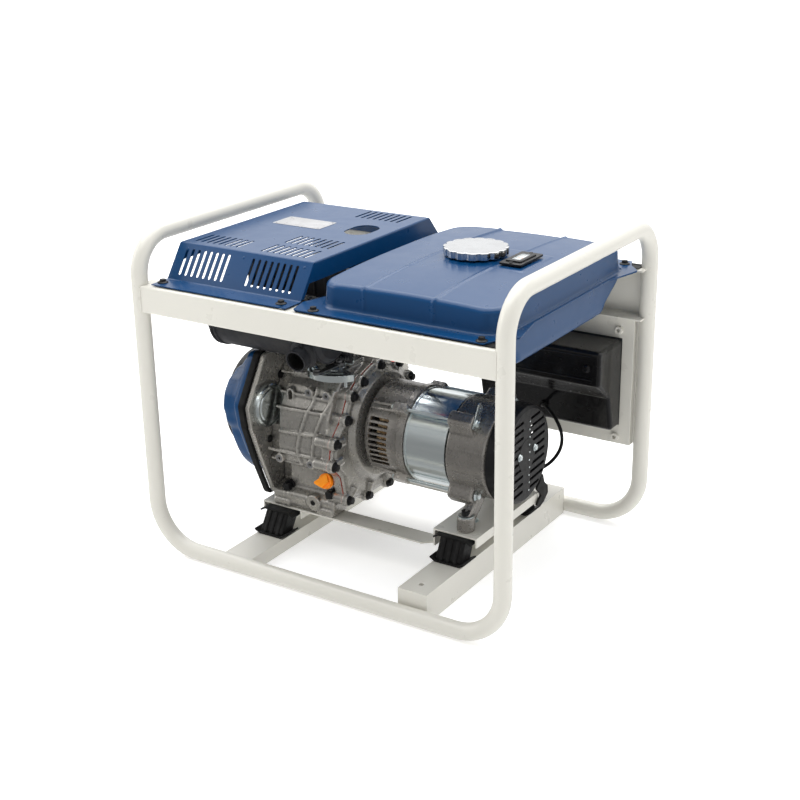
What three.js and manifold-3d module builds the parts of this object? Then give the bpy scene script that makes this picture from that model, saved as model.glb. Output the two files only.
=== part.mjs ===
// Open-frame portable diesel generator.
// Millimetres, +Z up. The origin is under the middle of the frame, on the ground.
// +X points to the alternator end, -Y to the engine's service side, +Y to the control panel.

import * as THREE from 'three';
import { mergeVertices } from 'three/addons/utils/BufferGeometryUtils.js';
import Module from 'manifold-3d';

const wasm = await Module();
wasm.setup();

// ---------------------------------------------------------------- driving dimensions

const GAP = 0.3; // clearance kept between touching pieces
const SHEET = 2.5; // frame sheet thickness

const TUBE_R = 13; // frame tube radius
const POST_X = 315; // half the distance between the tube centres, along X
const POST_Y = 232.5; // half the distance between the tube centres, along Y
const FRAME_TOP = 516; // height of the handle's centreline
const FOOT_BEND = 76; // centreline radius of the bends at the ground
const HANDLE_BEND = 60; // centreline radius of the bends at the handle

const RAIL = { outerY: 243, innerY: 205, top: 446, frontLow: 403.5, rearLow: 364 };

const AXIS_Z = 196; // height of the crankshaft and alternator axis
const CYL_X = -115; // position of the cylinder along the crankshaft
const THROW = 31; // crank radius: half the piston's stroke
const BORE_R = 39.2;
const DECK_Z = 370; // top face of the cylinder block

const CASE = { left: -178, right: -58, floor: 64.3 };
const PLATE_LEFT = -186; // flywheel side of the crankcase's mounting plate
const GEAR_CASE = { right: -36, neck: -28 };
const ALT = { front: -19, band: 53, rear: 129, end: 198, cover: 228, r: 76 };
const LOUVRE = { rows: 9, pitch: 12.5, top: 50, half: 2.2, inner: 12, outer: 56, rim: 69 };

const SHROUD = { right: -186, step: -232, left: -255 };
const RECOIL = { left: -288, r: 90, ropeX: -272, ropeR: 45 };

const MUFFLER = { y: -98, z: 368.6, r: 46, left: -275, right: -50 };
const TANK = { left: -3, right: 290, front: -206, rear: 195, seam: 449, floor: 393, crown: 495.5 };
const FILLER = { x: 137, y: 2 };
const COVER = { left: -289, right: -37, flangeZ: 448, topZ: 500, sheet: 1.5 };
const PANEL = { left: 28, right: 300, low: 148, high: 363.7, inner: 219, outer: 238, face: 224.5 };

// ---------------------------------------------------------------- geometry helpers

const STAND = new THREE.Matrix4();

/** Basis that carries a shape's plane and depth onto the plane across an axis. */
const ACROSS = {
  x: () => STAND.clone().makeBasis(v3(0, 1, 0), v3(0, 0, 1), v3(1, 0, 0)),
  y: () => STAND.clone().makeBasis(v3(1, 0, 0), v3(0, 0, 1), v3(0, -1, 0)),
  z: () => STAND.clone(),
};

function v3(x, y, z) {
  return new THREE.Vector3(x, y, z);
}

/** Box between two corners, given as one range per axis. */
function box([x0, x1], [y0, y1], [z0, z1]) {
  const geometry = new THREE.BoxGeometry(x1 - x0, y1 - y0, z1 - z0);
  return geometry.translate((x0 + x1) / 2, (y0 + y1) / 2, (z0 + z1) / 2);
}

/** Turns geometry built along +Y so that it runs along the named axis. */
function along(axis, geometry) {
  if (axis === 'x') geometry.rotateZ(-Math.PI / 2);
  if (axis === 'z') geometry.rotateX(Math.PI / 2);
  return geometry;
}

/** Round bar along an axis; `at` is its place in the other two axes, in X, Y, Z order. */
function bar(axis, radius, from, to, at, sides = 16, endRadius = radius) {
  const geometry = new THREE.CylinderGeometry(endRadius, radius, to - from, sides);
  geometry.translate(0, (from + to) / 2, 0);
  return moved(axis, along(axis, geometry), at);
}

/** Turned shape along an axis; the profile is closed, as [radius, position] pairs. */
function turned(axis, profile, at, segments = 24) {
  const points = [...profile, profile[0]].map(([r, h]) => new THREE.Vector2(r, h));
  return moved(axis, along(axis, new THREE.LatheGeometry(points, segments)), at);
}

function moved(axis, geometry, [a, b]) {
  const place = { x: [0, a, b], y: [a, 0, b], z: [a, b, 0] }[axis];
  return geometry.translate(...place);
}

/** Flat outline extruded along an axis; points are in the other two axes, in X, Y, Z order. */
function prism(axis, outline, from, to) {
  const shape = new THREE.Shape(outline.map(([a, b]) => new THREE.Vector2(a, b)));
  const geometry = new THREE.ExtrudeGeometry(shape, { depth: to - from, bevelEnabled: false });
  geometry.translate(0, 0, axis === 'y' ? -to : from);
  return geometry.applyMatrix4(ACROSS[axis]());
}

/** Points on an arc, angles in degrees. */
function arc(cx, cy, r, start, end, steps) {
  return Array.from({ length: steps + 1 }, (_, i) => {
    const a = THREE.MathUtils.degToRad(start + ((end - start) * i) / steps);
    return [cx + r * Math.cos(a), cy + r * Math.sin(a)];
  });
}

/** Rectangle with round corners. */
function roundedRect(a0, a1, b0, b1, r, steps = 3) {
  return [
    ...arc(a1 - r, b1 - r, r, 0, 90, steps),
    ...arc(a0 + r, b1 - r, r, 90, 180, steps),
    ...arc(a0 + r, b0 + r, r, 180, 270, steps),
    ...arc(a1 - r, b0 + r, r, 270, 360, steps),
  ];
}

/** Outline of a folded sheet: its path and the same path moved by the thickness to the left. */
function folded(path, thickness) {
  const normals = path.slice(1).map(([a, b], i) => {
    const [pa, pb] = path[i];
    const length = Math.hypot(a - pa, b - pb);
    return [-(b - pb) / length, (a - pa) / length];
  });
  const inner = path.map(([a, b], i) => {
    const [n0, n1] = [normals[Math.max(i - 1, 0)], normals[Math.min(i, normals.length - 1)]];
    const k = thickness / (1 + n0[0] * n1[0] + n0[1] * n1[1]);
    return [a + (n0[0] + n1[0]) * k, b + (n0[1] + n1[1]) * k];
  });
  return [...path, ...inner.reverse()];
}

/** Solid through a stack of rounded rectangles: [z, inset, x0, x1, y0, y1, corner radius]. */
function stacked(layers) {
  const rings = layers.map(([z, inset, x0, x1, y0, y1, r]) =>
    roundedRect(x0 + inset, x1 - inset, y0 + inset, y1 - inset, r).map(([x, y]) => [x, y, z]));
  const count = rings[0].length;
  const position = rings.flat(2);
  const index = [];
  for (let ring = 0; ring + 1 < rings.length; ring += 1) {
    for (let i = 0; i < count; i += 1) {
      const a = ring * count + i;
      const b = ring * count + ((i + 1) % count);
      index.push(a, b, b + count, a, b + count, a + count);
    }
  }
  const last = (rings.length - 1) * count;
  for (let i = 1; i + 1 < count; i += 1) {
    index.push(0, i + 1, i);
    index.push(last, last + i, last + i + 1);
  }
  const geometry = new THREE.BufferGeometry();
  geometry.setAttribute('position', new THREE.Float32BufferAttribute(position, 3));
  geometry.setIndex(index);
  return geometry;
}

/** Curve through a list of points, sampled at the points themselves. */
class Route extends THREE.Curve {
  constructor(points) {
    super();
    this.points = points.map((p) => v3(...p));
  }

  getPointAt(u, target = v3()) {
    const last = this.points.length - 1;
    const i = Math.min(Math.round(u * last), last);
    return target.copy(this.points[i]);
  }

  getTangentAt(u, target = v3()) {
    const last = this.points.length - 1;
    const i = Math.min(Math.round(u * last), last);
    const here = this.points[i];
    const before = i > 0 ? here.clone().sub(this.points[i - 1]).normalize() : v3();
    const after = i < last ? this.points[i + 1].clone().sub(here).normalize() : v3();
    return target.copy(before).add(after).normalize();
  }
}

/** Round tube or rod that follows a list of points. */
function swept(points, radius, sides) {
  const section = new THREE.Shape(
    arc(0, 0, radius, 0, 360, sides).slice(0, -1).map(([a, b]) => new THREE.Vector2(a, b)));
  return new THREE.ExtrudeGeometry(section, { steps: points.length - 1, extrudePath: new Route(points) });
}

/** Quarter bend about a centre, from the direction `from` to the direction `to`. */
function bend(centre, radius, from, to, steps = 4) {
  return Array.from({ length: steps + 1 }, (_, i) => {
    const a = (Math.PI / 2) * (i / steps);
    const point = v3(...centre);
    point.addScaledVector(v3(...from), radius * Math.cos(a));
    point.addScaledVector(v3(...to), radius * Math.sin(a));
    return point.toArray();
  });
}

/** Closed geometry as a solid with its faces pointing out. */
function toSolid(geometry) {
  const bare = geometry.clone();
  bare.deleteAttribute('normal');
  bare.deleteAttribute('uv');
  const merged = mergeVertices(bare, 1e-4);
  const kept = [];
  for (let i = 0; i < merged.index.count; i += 3) {
    const [a, b, c] = [merged.index.getX(i), merged.index.getX(i + 1), merged.index.getX(i + 2)];
    if (a !== b && b !== c && c !== a) kept.push(a, b, c);
  }
  const vertProperties = new Float32Array(merged.attributes.position.array);
  const build = (order) =>
    new wasm.Manifold(new wasm.Mesh({ numProp: 3, vertProperties, triVerts: new Uint32Array(order) }));
  const solid = build(kept);
  return solid.volume() > 0 ? solid : build(kept.reverse());
}

function toGeometry(solid) {
  const { vertProperties, triVerts } = solid.getMesh();
  const geometry = new THREE.BufferGeometry();
  geometry.setAttribute('position', new THREE.BufferAttribute(vertProperties, 3));
  geometry.setIndex(new THREE.BufferAttribute(triVerts, 1));
  geometry.computeVertexNormals();
  return geometry;
}

function join(...pieces) {
  return toGeometry(pieces.map(toSolid).reduce((whole, piece) => whole.add(piece)));
}

function cut(piece, ...tools) {
  return toGeometry(tools.map(toSolid).reduce((rest, tool) => rest.subtract(tool), toSolid(piece)));
}

// ---------------------------------------------------------------- materials

function finish(color, roughness, metalness) {
  return () => new THREE.MeshStandardMaterial({ color, roughness, metalness });
}

const WHITE_PAINT = finish(0xe6e5dc, 0.3, 0);
const BLUE_PAINT = finish(0x1f3f86, 0.35, 0);
const CAST = finish(0x8f8b86, 0.55, 0.8);
const ZINC = finish(0xc4d2d4, 0.25, 1);
const CHROME = finish(0xd9d9d9, 0.12, 1);
const BLACK_PLASTIC = finish(0x17181a, 0.45, 0);
const BLACK_RUBBER = finish(0x101010, 0.75, 0);
const HEAT_PAINT = finish(0x33353a, 0.6, 0.2);
const STEEL = finish(0x85868a, 0.35, 1);
const COPPER = finish(0xa97c4f, 0.5, 0.4);
const ORANGE = finish(0xff7a12, 0.4, 0);
const PAPER = finish(0xd8cba6, 0.9, 0);
const RED = finish(0xb3201c, 0.4, 0);
const PANEL_GREY = finish(0x2a2c30, 0.5, 0.1);

const generator = new THREE.Group();

function part(name, geometry, material) {
  const mesh = new THREE.Mesh(toGeometry(toSolid(geometry)), material());
  mesh.name = name;
  generator.add(mesh);
}

// ---------------------------------------------------------------- tube frame and rails

/** Half of the frame's tube: a handle, two posts, and the ground rails up to the middle. */
function hoop(side) {
  const x = side * POST_X;
  const foot = side * (POST_X - FOOT_BEND);
  const low = TUBE_R + FOOT_BEND;
  const high = FRAME_TOP - HANDLE_BEND;
  const end = (side * GAP) / 2;
  return swept([
    [end, -POST_Y, TUBE_R],
    ...bend([foot, -POST_Y, low], FOOT_BEND, [0, 0, -1], [side, 0, 0]),
    ...bend([x, -POST_Y + HANDLE_BEND, high], HANDLE_BEND, [0, -1, 0], [0, 0, 1]),
    ...bend([x, POST_Y - HANDLE_BEND, high], HANDLE_BEND, [0, 0, 1], [0, 1, 0]),
    ...bend([foot, POST_Y, low], FOOT_BEND, [side, 0, 0], [0, 0, -1]),
    [end, POST_Y, TUBE_R],
  ], TUBE_R, 12);
}

part('left_hoop', hoop(-1), WHITE_PAINT);
part('right_hoop', hoop(1), WHITE_PAINT);

/** The four posts and two ground rails, with clearance, to cope other pieces against. */
function tubesToCope() {
  const r = TUBE_R + GAP;
  const tubes = [];
  for (const y of [-POST_Y, POST_Y]) {
    tubes.push(bar('x', r, -POST_X, POST_X, [y, TUBE_R], 20));
    for (const x of [-POST_X, POST_X]) tubes.push(bar('z', r, TUBE_R, FRAME_TOP, [x, y], 20));
  }
  return tubes;
}

/** Upper rail: a channel that opens inwards, coped to the posts at both ends. */
function upperRail(side, low) {
  const { outerY, innerY, top } = RAIL;
  const path = [[innerY, low], [outerY, low], [outerY, top], [innerY, top]].map(([y, z]) => [side * y, z]);
  const section = folded(side < 0 ? path.reverse() : path, SHEET);
  return cut(prism('x', section, -POST_X, POST_X), ...tubesToCope());
}

part('front_upper_rail', upperRail(-1, RAIL.frontLow), WHITE_PAINT);
part('rear_upper_rail', upperRail(1, RAIL.rearLow), WHITE_PAINT);

/** Inverted channel across the ground rails; closed ends rest on the tubes. */
function crossMember([x0, x1], height, reach, closed) {
  const end = closed ? reach - SHEET : reach + 1;
  const inside = box([x0 + SHEET, x1 - SHEET], [-end, end], [-1, height - SHEET]);
  return cut(box([x0, x1], [-reach, reach], [0, height]), inside, ...tubesToCope());
}

const RIGHT_MEMBER = { x: [135, 185], height: 47, holeY: 196, holeR: 4 };
part('left_cross_member', crossMember([-187, -134], 23, 224, false), WHITE_PAINT);
part('right_cross_member', cut(
  crossMember(RIGHT_MEMBER.x, RIGHT_MEMBER.height, 222, true),
  ...[-1, 1].map((side) => bar('z', RIGHT_MEMBER.holeR, 40, 50, [160, side * RIGHT_MEMBER.holeY], 12)),
), WHITE_PAINT);

// ---------------------------------------------------------------- engine tray and rubber mounts

const BRACKET = { sheet: 3, leftTop: 64, rightTop: 89 };

/** Plate across the engine tray with both long edges folded down. */
function engineBracket([left, right], [leftEdge, rightEdge], top, halfLength) {
  const path = [[left, leftEdge], [left, top], [right, top], [right, rightEdge]];
  return prism('y', folded(path, -BRACKET.sheet), -halfLength, halfLength);
}

part('left_engine_bracket', engineBracket([-199, -122], [48, 48], BRACKET.leftTop, 108), WHITE_PAINT);
part('right_engine_bracket', engineBracket([122, 198], [60, 73], BRACKET.rightTop, 100), WHITE_PAINT);

/** Flat bar that ties the two brackets together, with one corner cut off at the right. */
function trayStrip(side) {
  const end = 122 - GAP;
  const outline = [[-end, 73], [end, 73], [end, 92], [104, 108], [-end, 108]];
  return prism('z', outline.map(([x, y]) => [x, side * y]), BRACKET.leftTop - BRACKET.sheet, BRACKET.leftTop);
}

part('front_tray_strip', trayStrip(-1), WHITE_PAINT);
part('rear_tray_strip', trayStrip(1), WHITE_PAINT);

/** Inclined rubber block between two plates; the lower plate sits further out. */
function rubberMount(x, side, lowZ, highZ, lowY, highY) {
  const plate = 5;
  const outline = [
    [side * (lowY - 15), lowZ + 2], [side * (lowY + 15), lowZ + 2],
    [side * (highY + 15), highZ - 2], [side * (highY - 15), highZ - 2],
  ];
  const span = (y, reach) => [side * y - reach, side * y + reach];
  return join(
    prism('x', outline, x - 20, x + 20),
    box([x - 34, x + 34], span(lowY, 22), [lowZ, lowZ + plate]),
    box([x - 33, x + 33], span(highY, 21), [highZ - plate, highZ]),
  );
}

for (const [end, side] of [['front', -1], ['rear', 1]]) {
  const [leftLow, leftHigh] = [23 + GAP, BRACKET.leftTop - BRACKET.sheet - GAP];
  const [rightLow, rightHigh] = [RIGHT_MEMBER.height + GAP, BRACKET.rightTop - BRACKET.sheet - GAP];
  part(`mount_left_${end}`, rubberMount(-160.5, side, leftLow, leftHigh, 126, 105), BLACK_RUBBER);
  part(`mount_right_${end}`, rubberMount(160, side, rightLow, rightHigh, 106, 90), BLACK_RUBBER);
}

// ---------------------------------------------------------------- crankcase, cylinder and head

/** Outline of the crankcase casting across the crankshaft, feet included. */
const CASE_OUTLINE = [
  [-107, CASE.floor], [-107, 88], [-93, 98], [-93, 136], [-118, 152], [-122, 178], [-114, 235],
  [-92, 272], [-58, 300], [58, 300], [92, 272], [108, 235], [112, 108], [107, 90], [107, CASE.floor],
  [72, CASE.floor], [66, 74], [-66, 74], [-72, CASE.floor],
];

const CHAMBER_OUTLINE = [
  [-82, 84], [-84, 142], [-108, 158], [-111, 178], [-104, 232], [-84, 264], [-54, 288],
  [54, 288], [84, 264], [98, 232], [102, 112], [94, 84],
];

/** Outline of the plate between the crankcase and the fan shroud, grown by an offset. */
function plateOutline(grow) {
  const half = [[-103, 79], [-133, 150], [-153, 206], [-160, 246], [-146, 290], [-111, 321]];
  const side = half.map(([y, z]) => [y - grow, z + (z > 200 ? grow : -grow) * 0.5]);
  return [...side, ...side.map(([y, z]) => [-y, z]).reverse()];
}

const STARTER_HOLE = { y: -114, z: 238, r: 35 };
const DIPSTICK = { x: -73, y: -99, z: 122, tilt: 25 };

/** Round bar along the dipstick's axis, from a distance inside the case to one outside. */
function dipstickBar(radius, from, to, sides = 14) {
  const geometry = new THREE.CylinderGeometry(radius, radius, to - from, sides);
  geometry.translate(0, (from + to) / 2, 0);
  geometry.rotateX(Math.PI - THREE.MathUtils.degToRad(DIPSTICK.tilt));
  return geometry.translate(DIPSTICK.x, DIPSTICK.y, DIPSTICK.z);
}

function crankcase() {
  const fins = [300, 312, 324, 336, 348, 360].map((z) => box([-166, -64], [-48, 48], [z, z + 4]));
  const block = join(
    prism('x', CASE_OUTLINE, CASE.left, CASE.right - GAP),
    prism('x', plateOutline(0), PLATE_LEFT, CASE.left + 1),
    box([-160, -70], [-44, 44], [290, DECK_Z]),
    ...fins,
    dipstickBar(12, -16, 2),
  );
  return cut(
    block,
    prism('x', CHAMBER_OUTLINE, CASE.left + 10, CASE.right + 1),
    bar('x', STARTER_HOLE.r + 3, CASE.left, -152, [STARTER_HOLE.y, STARTER_HOLE.z], 24),
    box([CASE.left, -152], [-160, STARTER_HOLE.y], [STARTER_HOLE.z - 26, STARTER_HOLE.z + 26]),
    bar('x', 20 + GAP, PLATE_LEFT - 1, CASE.left + 12, [0, AXIS_Z], 24),
    bar('z', BORE_R, 250, DECK_Z + 1, [CYL_X, 0], 24),
    dipstickBar(8, -40, 3),
  );
}

part('crankcase', crankcase(), CAST);

/** Timing-gear cover: a dished casting whose rim follows the ring of cover bolts. */
function gearCaseCover() {
  const rim = [
    [20, 303], [-14, 304], [-58, 290], [-86, 272], [-104, 238], [-136, 208], [-144, 166], [-128, 122],
    [-104, 92], [-46, 77], [22, 77], [72, 84], [106, 108], [112, 200], [96, 250], [60, 290],
  ];
  const hollow = rim.map(([y, z]) => [y * 0.92, AXIS_Z + (z - AXIS_Z) * 0.92]);
  const wall = 7;
  return cut(
    join(
      prism('x', rim, CASE.right, GEAR_CASE.right),
      bar('x', 98, GEAR_CASE.right - 1, GEAR_CASE.neck, [0, AXIS_Z], 24, 85),
      bar('x', 60, GEAR_CASE.neck - 1, ALT.front - GAP, [0, AXIS_Z], 24),
    ),
    prism('x', hollow, CASE.right - 1, GEAR_CASE.right - wall),
    bar('x', 24, GEAR_CASE.right - wall - 1, ALT.front + 1, [0, AXIS_Z]),
  );
}

part('gear_case_cover', gearCaseCover(), CAST);

function cylinderHead() {
  const grooves = [378, 386, 394].flatMap((z) => [
    box([-170, -60], [-50, -36], [z, z + 4]),
    box([-170, -60], [36, 50], [z, z + 4]),
  ]);
  return cut(box([-164, -66], [-48, 48], [DECK_Z + GAP, 405]), ...grooves);
}

part('cylinder_head', cylinderHead(), CAST);
part('rocker_cover', join(
  prism('z', roundedRect(-152, -78, -40, 36, 12), 405 + GAP, 430),
  prism('z', roundedRect(-147, -83, -35, 31, 12), 429, 438),
), CAST);

const DECOMPRESSION = { x: -140, y: 36, z: 420 };
part('decompression_lever', join(
  bar('y', 8, DECOMPRESSION.y + GAP, DECOMPRESSION.y + 10, [DECOMPRESSION.x, DECOMPRESSION.z], 16),
  box([DECOMPRESSION.x, DECOMPRESSION.x + 42],
    [DECOMPRESSION.y + 5, DECOMPRESSION.y + 9], [DECOMPRESSION.z - 5, DECOMPRESSION.z + 5]),
), STEEL);

part('starter_hole_cap', turned('x', [
  [0, CASE.left + GAP], [STARTER_HOLE.r, CASE.left + GAP], [STARTER_HOLE.r, CASE.left + 6],
  [STARTER_HOLE.r - 3, CASE.left + 8], [STARTER_HOLE.r - 6, CASE.left + 6.5], [20, CASE.left + 8.5],
  [0, CASE.left + 9],
], [STARTER_HOLE.y, STARTER_HOLE.z]), ZINC);

/** Orange oil filler plug with its dipstick blade. */
part('dipstick', join(
  dipstickBar(3, -74, -20, 8),
  dipstickBar(7.4, -22, 3),
  dipstickBar(12.5, 2 + GAP, 12, 24),
), ORANGE);

part('injection_pump', join(
  box([-104, -70], [112 + GAP, 138], [222, 262]),
  bar('z', 13, 260, 292, [-87, 125], 18),
  bar('z', 7, 290, 306, [-87, 125], 12),
), CAST);

// ---------------------------------------------------------------- speed control

const SPEED = { x: -70, y: -63, z: 304, sheet: 2.5, pinR: 4 };

/** Zinc quadrant plate with a curved slot and an upright tab at its left side. */
function speedQuadrant() {
  const { x, y, z, sheet, pinR } = SPEED;
  const plate = [...arc(0, 0, 52, -128, -28, 8), ...arc(0, 0, 11, -28, 130, 5), [-32, -20]];
  const slot = [...arc(0, 0, 43, -112, -46, 6), ...arc(0, 0, 37, -46, -112, 6)];
  const place = ([a, b]) => [x + a, y + b];
  return cut(
    join(
      prism('z', plate.map(place), z, z + sheet),
      box([x - 36, x - 33.5], [y - 34, y - 18], [z, z + 14]),
      box([x - 36, x - 22], [y - 34, y - 24], [z, z + sheet]),
    ),
    prism('z', slot.map(place), z - 1, z + sheet + 1),
    bar('z', pinR + GAP, z - 1, z + sheet + 1, [x, y], 12),
  );
}

part('speed_quadrant', speedQuadrant(), ZINC);

/** Speed lever above the quadrant, turning on a pin through it. */
function speedLever() {
  const { x, y, z, sheet, pinR } = SPEED;
  const low = z + sheet + GAP;
  return join(
    bar('z', pinR, z - 3, low + 5, [x, y], 12),
    bar('z', 9, low, low + 5, [x, y], 16),
    prism('z', [[x - 4, y], [x - 10, y - 58], [x, y - 60], [x + 5, y]], low, low + 3),
  );
}

part('speed_lever', speedLever(), ZINC);

// ---------------------------------------------------------------- moving train on the crankshaft

function crankshaft() {
  const pinZ = AXIS_Z - THROW;
  return join(
    bar('x', 15, -262, -190, [0, AXIS_Z]),
    bar('x', 20, -192, -145, [0, AXIS_Z]),
    bar('x', 50, -148, -134, [0, AXIS_Z], 24),
    bar('x', 17, -135, -95, [0, pinZ]),
    bar('x', 50, -96, -82, [0, AXIS_Z], 24),
    bar('x', 20, -84, -20, [0, AXIS_Z]),
  );
}

part('crankshaft', crankshaft(), STEEL);

part('flywheel', turned('x', [
  [15 + GAP, -248], [34, -248], [34, -222], [82, -216], [82, -240], [104, -240], [108, -236],
  [108, -200], [84, -200], [82, -206], [40, -210], [15 + GAP, -210],
], [0, AXIS_Z]), CAST);

part('alternator_rotor', turned('x', [
  [0, ALT.front - 0.7], [14, ALT.front - 0.7], [14, 14], [46.5, 16], [46.5, 152], [14, 154], [14, 206],
  [0, 206],
], [0, AXIS_Z]), STEEL);

const PISTON_CROWN = 307;
part('piston', cut(
  bar('z', BORE_R - 2 * GAP, PISTON_CROWN - 58, PISTON_CROWN, [CYL_X, 0], 24),
  bar('z', BORE_R - 6, PISTON_CROWN - 59, PISTON_CROWN - 9, [CYL_X, 0]),
), STEEL);

// ---------------------------------------------------------------- fan shroud and recoil starter

/** Blue fan shroud: a flanged tray with a volute that bulges on the service side. */
function fanShroud() {
  const { right, step, left } = SHROUD;
  const wall = 2.5;
  const bulge = [[-70, 292], [-112, 272], [-131, 250], [-135, 228], [-130, 206], [-117, 182]];
  const volute = [...arc(0, AXIS_Z, 122, 186, 430, 28), ...bulge];
  return cut(
    join(
      prism('x', plateOutline(3), step, right - GAP),
      prism('x', volute, left, step + 1),
    ),
    prism('x', plateOutline(-1), step + wall, right + 1),
    bar('x', 115, left + wall, step + wall + 1, [0, AXIS_Z], 28),
    bar('x', 74, left - 1, left + wall + 1, [0, AXIS_Z], 24),
  );
}

part('fan_shroud', fanShroud(), BLUE_PAINT);

function recoilHousing() {
  const { left, r, ropeX, ropeR } = RECOIL;
  const right = SHROUD.left - GAP;
  const holes = Array.from({ length: 10 }, (_, i) => {
    const a = (i / 10) * Math.PI * 2;
    return bar('x', 8, left - 1, left + 4, [Math.cos(a) * 66, AXIS_Z + Math.sin(a) * 66], 8);
  });
  return cut(
    turned('x', [
      [0, left], [r - 10, left], [r, left + 8], [r, right], [r - 3, right], [r - 3, left + 9],
      [r - 11, left + 3], [0, left + 3],
    ], [0, AXIS_Z], 28),
    ...holes,
    box([ropeX - 5, ropeX + 5], [60, r + 2], [AXIS_Z + ropeR - 5, AXIS_Z + ropeR + 5]),
  );
}

part('recoil_housing', recoilHousing(), BLACK_PLASTIC);
part('recoil_pulley', turned('x', [
  [0, -283], [52, -283], [52, -276], [40, -275], [40, -269], [52, -268], [52, -264], [0, -264],
], [0, AXIS_Z]), BLACK_PLASTIC);

/** Starter handle with the length of rope that it draws out of the housing. */
part('starter_grip', join(
  bar('y', 2.2, -66, 96, [RECOIL.ropeX, AXIS_Z + RECOIL.ropeR], 10),
  box([RECOIL.ropeX - 9, RECOIL.ropeX + 9], [92, 102],
    [AXIS_Z + RECOIL.ropeR - 42, AXIS_Z + RECOIL.ropeR + 42]),
  box([RECOIL.ropeX - 12, RECOIL.ropeX + 12], [100, 114],
    [AXIS_Z + RECOIL.ropeR - 46, AXIS_Z + RECOIL.ropeR + 46]),
), BLACK_RUBBER);

// ---------------------------------------------------------------- exhaust and air filter

function muffler() {
  const { y, z, r, left, right } = MUFFLER;
  return turned('x', [
    [16, right - 2], [16, right], [r - 6, right], [r, right - 8], [r, left + 14], [r - 8, left + 4],
    [24, left], [0, left], [0, left + 2], [22, left + 2], [r - 9, left + 6], [r - 2, left + 15],
    [r - 2, right - 9], [r - 7, right - 2],
  ], [y, z]);
}

part('muffler', muffler(), HEAT_PAINT);

/** Short outlet pipe that points down and out from the front of the muffler. */
function exhaustOutlet() {
  const [x, tilt, length] = [-88, 32, 66];
  const pipe = (radius, from, to) => {
    const geometry = new THREE.CylinderGeometry(radius, radius, to - from, 20);
    geometry.translate(0, (from + to) / 2, 0);
    geometry.rotateX(Math.PI + THREE.MathUtils.degToRad(tilt));
    return geometry.translate(x, MUFFLER.y, MUFFLER.z);
  };
  return cut(pipe(17.5, 30, length), pipe(15.5, 20, length + 1),
    bar('x', MUFFLER.r + GAP, x - 40, x + 40, [MUFFLER.y, MUFFLER.z], 24));
}

part('exhaust_outlet', exhaustOutlet(), HEAT_PAINT);

const FILTER = { x: -115, z: 386, inner: 62, outer: 152, r: 50 };
part('air_filter_housing', turned('y', [
  [18, FILTER.inner], [FILTER.r, FILTER.inner], [FILTER.r, FILTER.outer - 8], [FILTER.r - 8, FILTER.outer],
  [0, FILTER.outer], [0, FILTER.outer - 3], [FILTER.r - 10, FILTER.outer - 3],
  [FILTER.r - 3, FILTER.outer - 10], [FILTER.r - 3, FILTER.inner + 3], [18, FILTER.inner + 3],
], [FILTER.x, FILTER.z]), BLACK_PLASTIC);
part('air_filter_element', turned('y', [
  [24, FILTER.inner + 4], [FILTER.r - 6, FILTER.inner + 4], [FILTER.r - 6, FILTER.outer - 14],
  [24, FILTER.outer - 14],
], [FILTER.x, FILTER.z], 20), PAPER);

// ---------------------------------------------------------------- alternator

function frontBell() {
  const slots = [];
  for (const side of [-1, 1]) {
    for (let i = 0; i < 10; i += 1) {
      const z = AXIS_Z + 40 - i * 9;
      slots.push(box([-11, 23], side < 0 ? [-90, -45] : [45, 90], [z - 2.8, z + 2.8]));
    }
  }
  return cut(turned('x', [
    [24, ALT.front], [ALT.r - 3, ALT.front], [ALT.r, ALT.front + 4], [ALT.r, 40], [ALT.r + 2, 42],
    [ALT.r + 2, ALT.band], [71, ALT.band], [71, ALT.front + 5], [24, ALT.front + 5],
  ], [0, AXIS_Z], 32), ...slots);
}

part('alternator_front_bell', frontBell(), CAST);
part('stator_band', turned('x', [
  [71.2, ALT.band + GAP], [73.7, ALT.band + GAP], [73.7, ALT.rear - GAP], [71.2, ALT.rear - GAP],
], [0, AXIS_Z], 32), ZINC);
part('stator_core', turned('x', [
  [48, -9], [63, -9], [63, 57], [70.5, 58], [70.5, 124], [63, 125], [63, 156], [48, 156],
], [0, AXIS_Z]), COPPER);

/** Rear bell with four bolt lugs and two feet that stand on the right engine bracket. */
function rearBell() {
  const shell = turned('x', [
    [15, ALT.end - 6], [15, ALT.end], [ALT.r, ALT.end], [ALT.r + 1, ALT.end - 2],
    [ALT.r + 1, ALT.rear], [71, ALT.rear], [71, ALT.end - 6],
  ], [0, AXIS_Z], 32);
  const lugs = [45, 135, 225, 315].map((angle) => {
    const lug = box([ALT.rear, ALT.rear + 44], [72, 100], [-11, 11]);
    return lug.rotateX(THREE.MathUtils.degToRad(angle)).translate(0, 0, AXIS_Z);
  });
  const feet = [-1, 1].flatMap((side) => [
    bar('z', 12.5, BRACKET.rightTop + GAP, 112, [168, side * 80], 20),
    prism('x', [[side * 90, 112], [side * 88, 98], [side * 68, 97], [side * 34, 124], [side * 50, 142]],
      159, 177),
  ]);
  return cut(join(shell, ...lugs, ...feet), bar('x', 71, ALT.rear - 1, ALT.end - 6, [0, AXIS_Z], 32));
}

part('alternator_rear_bell', rearBell(), CAST);

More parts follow.
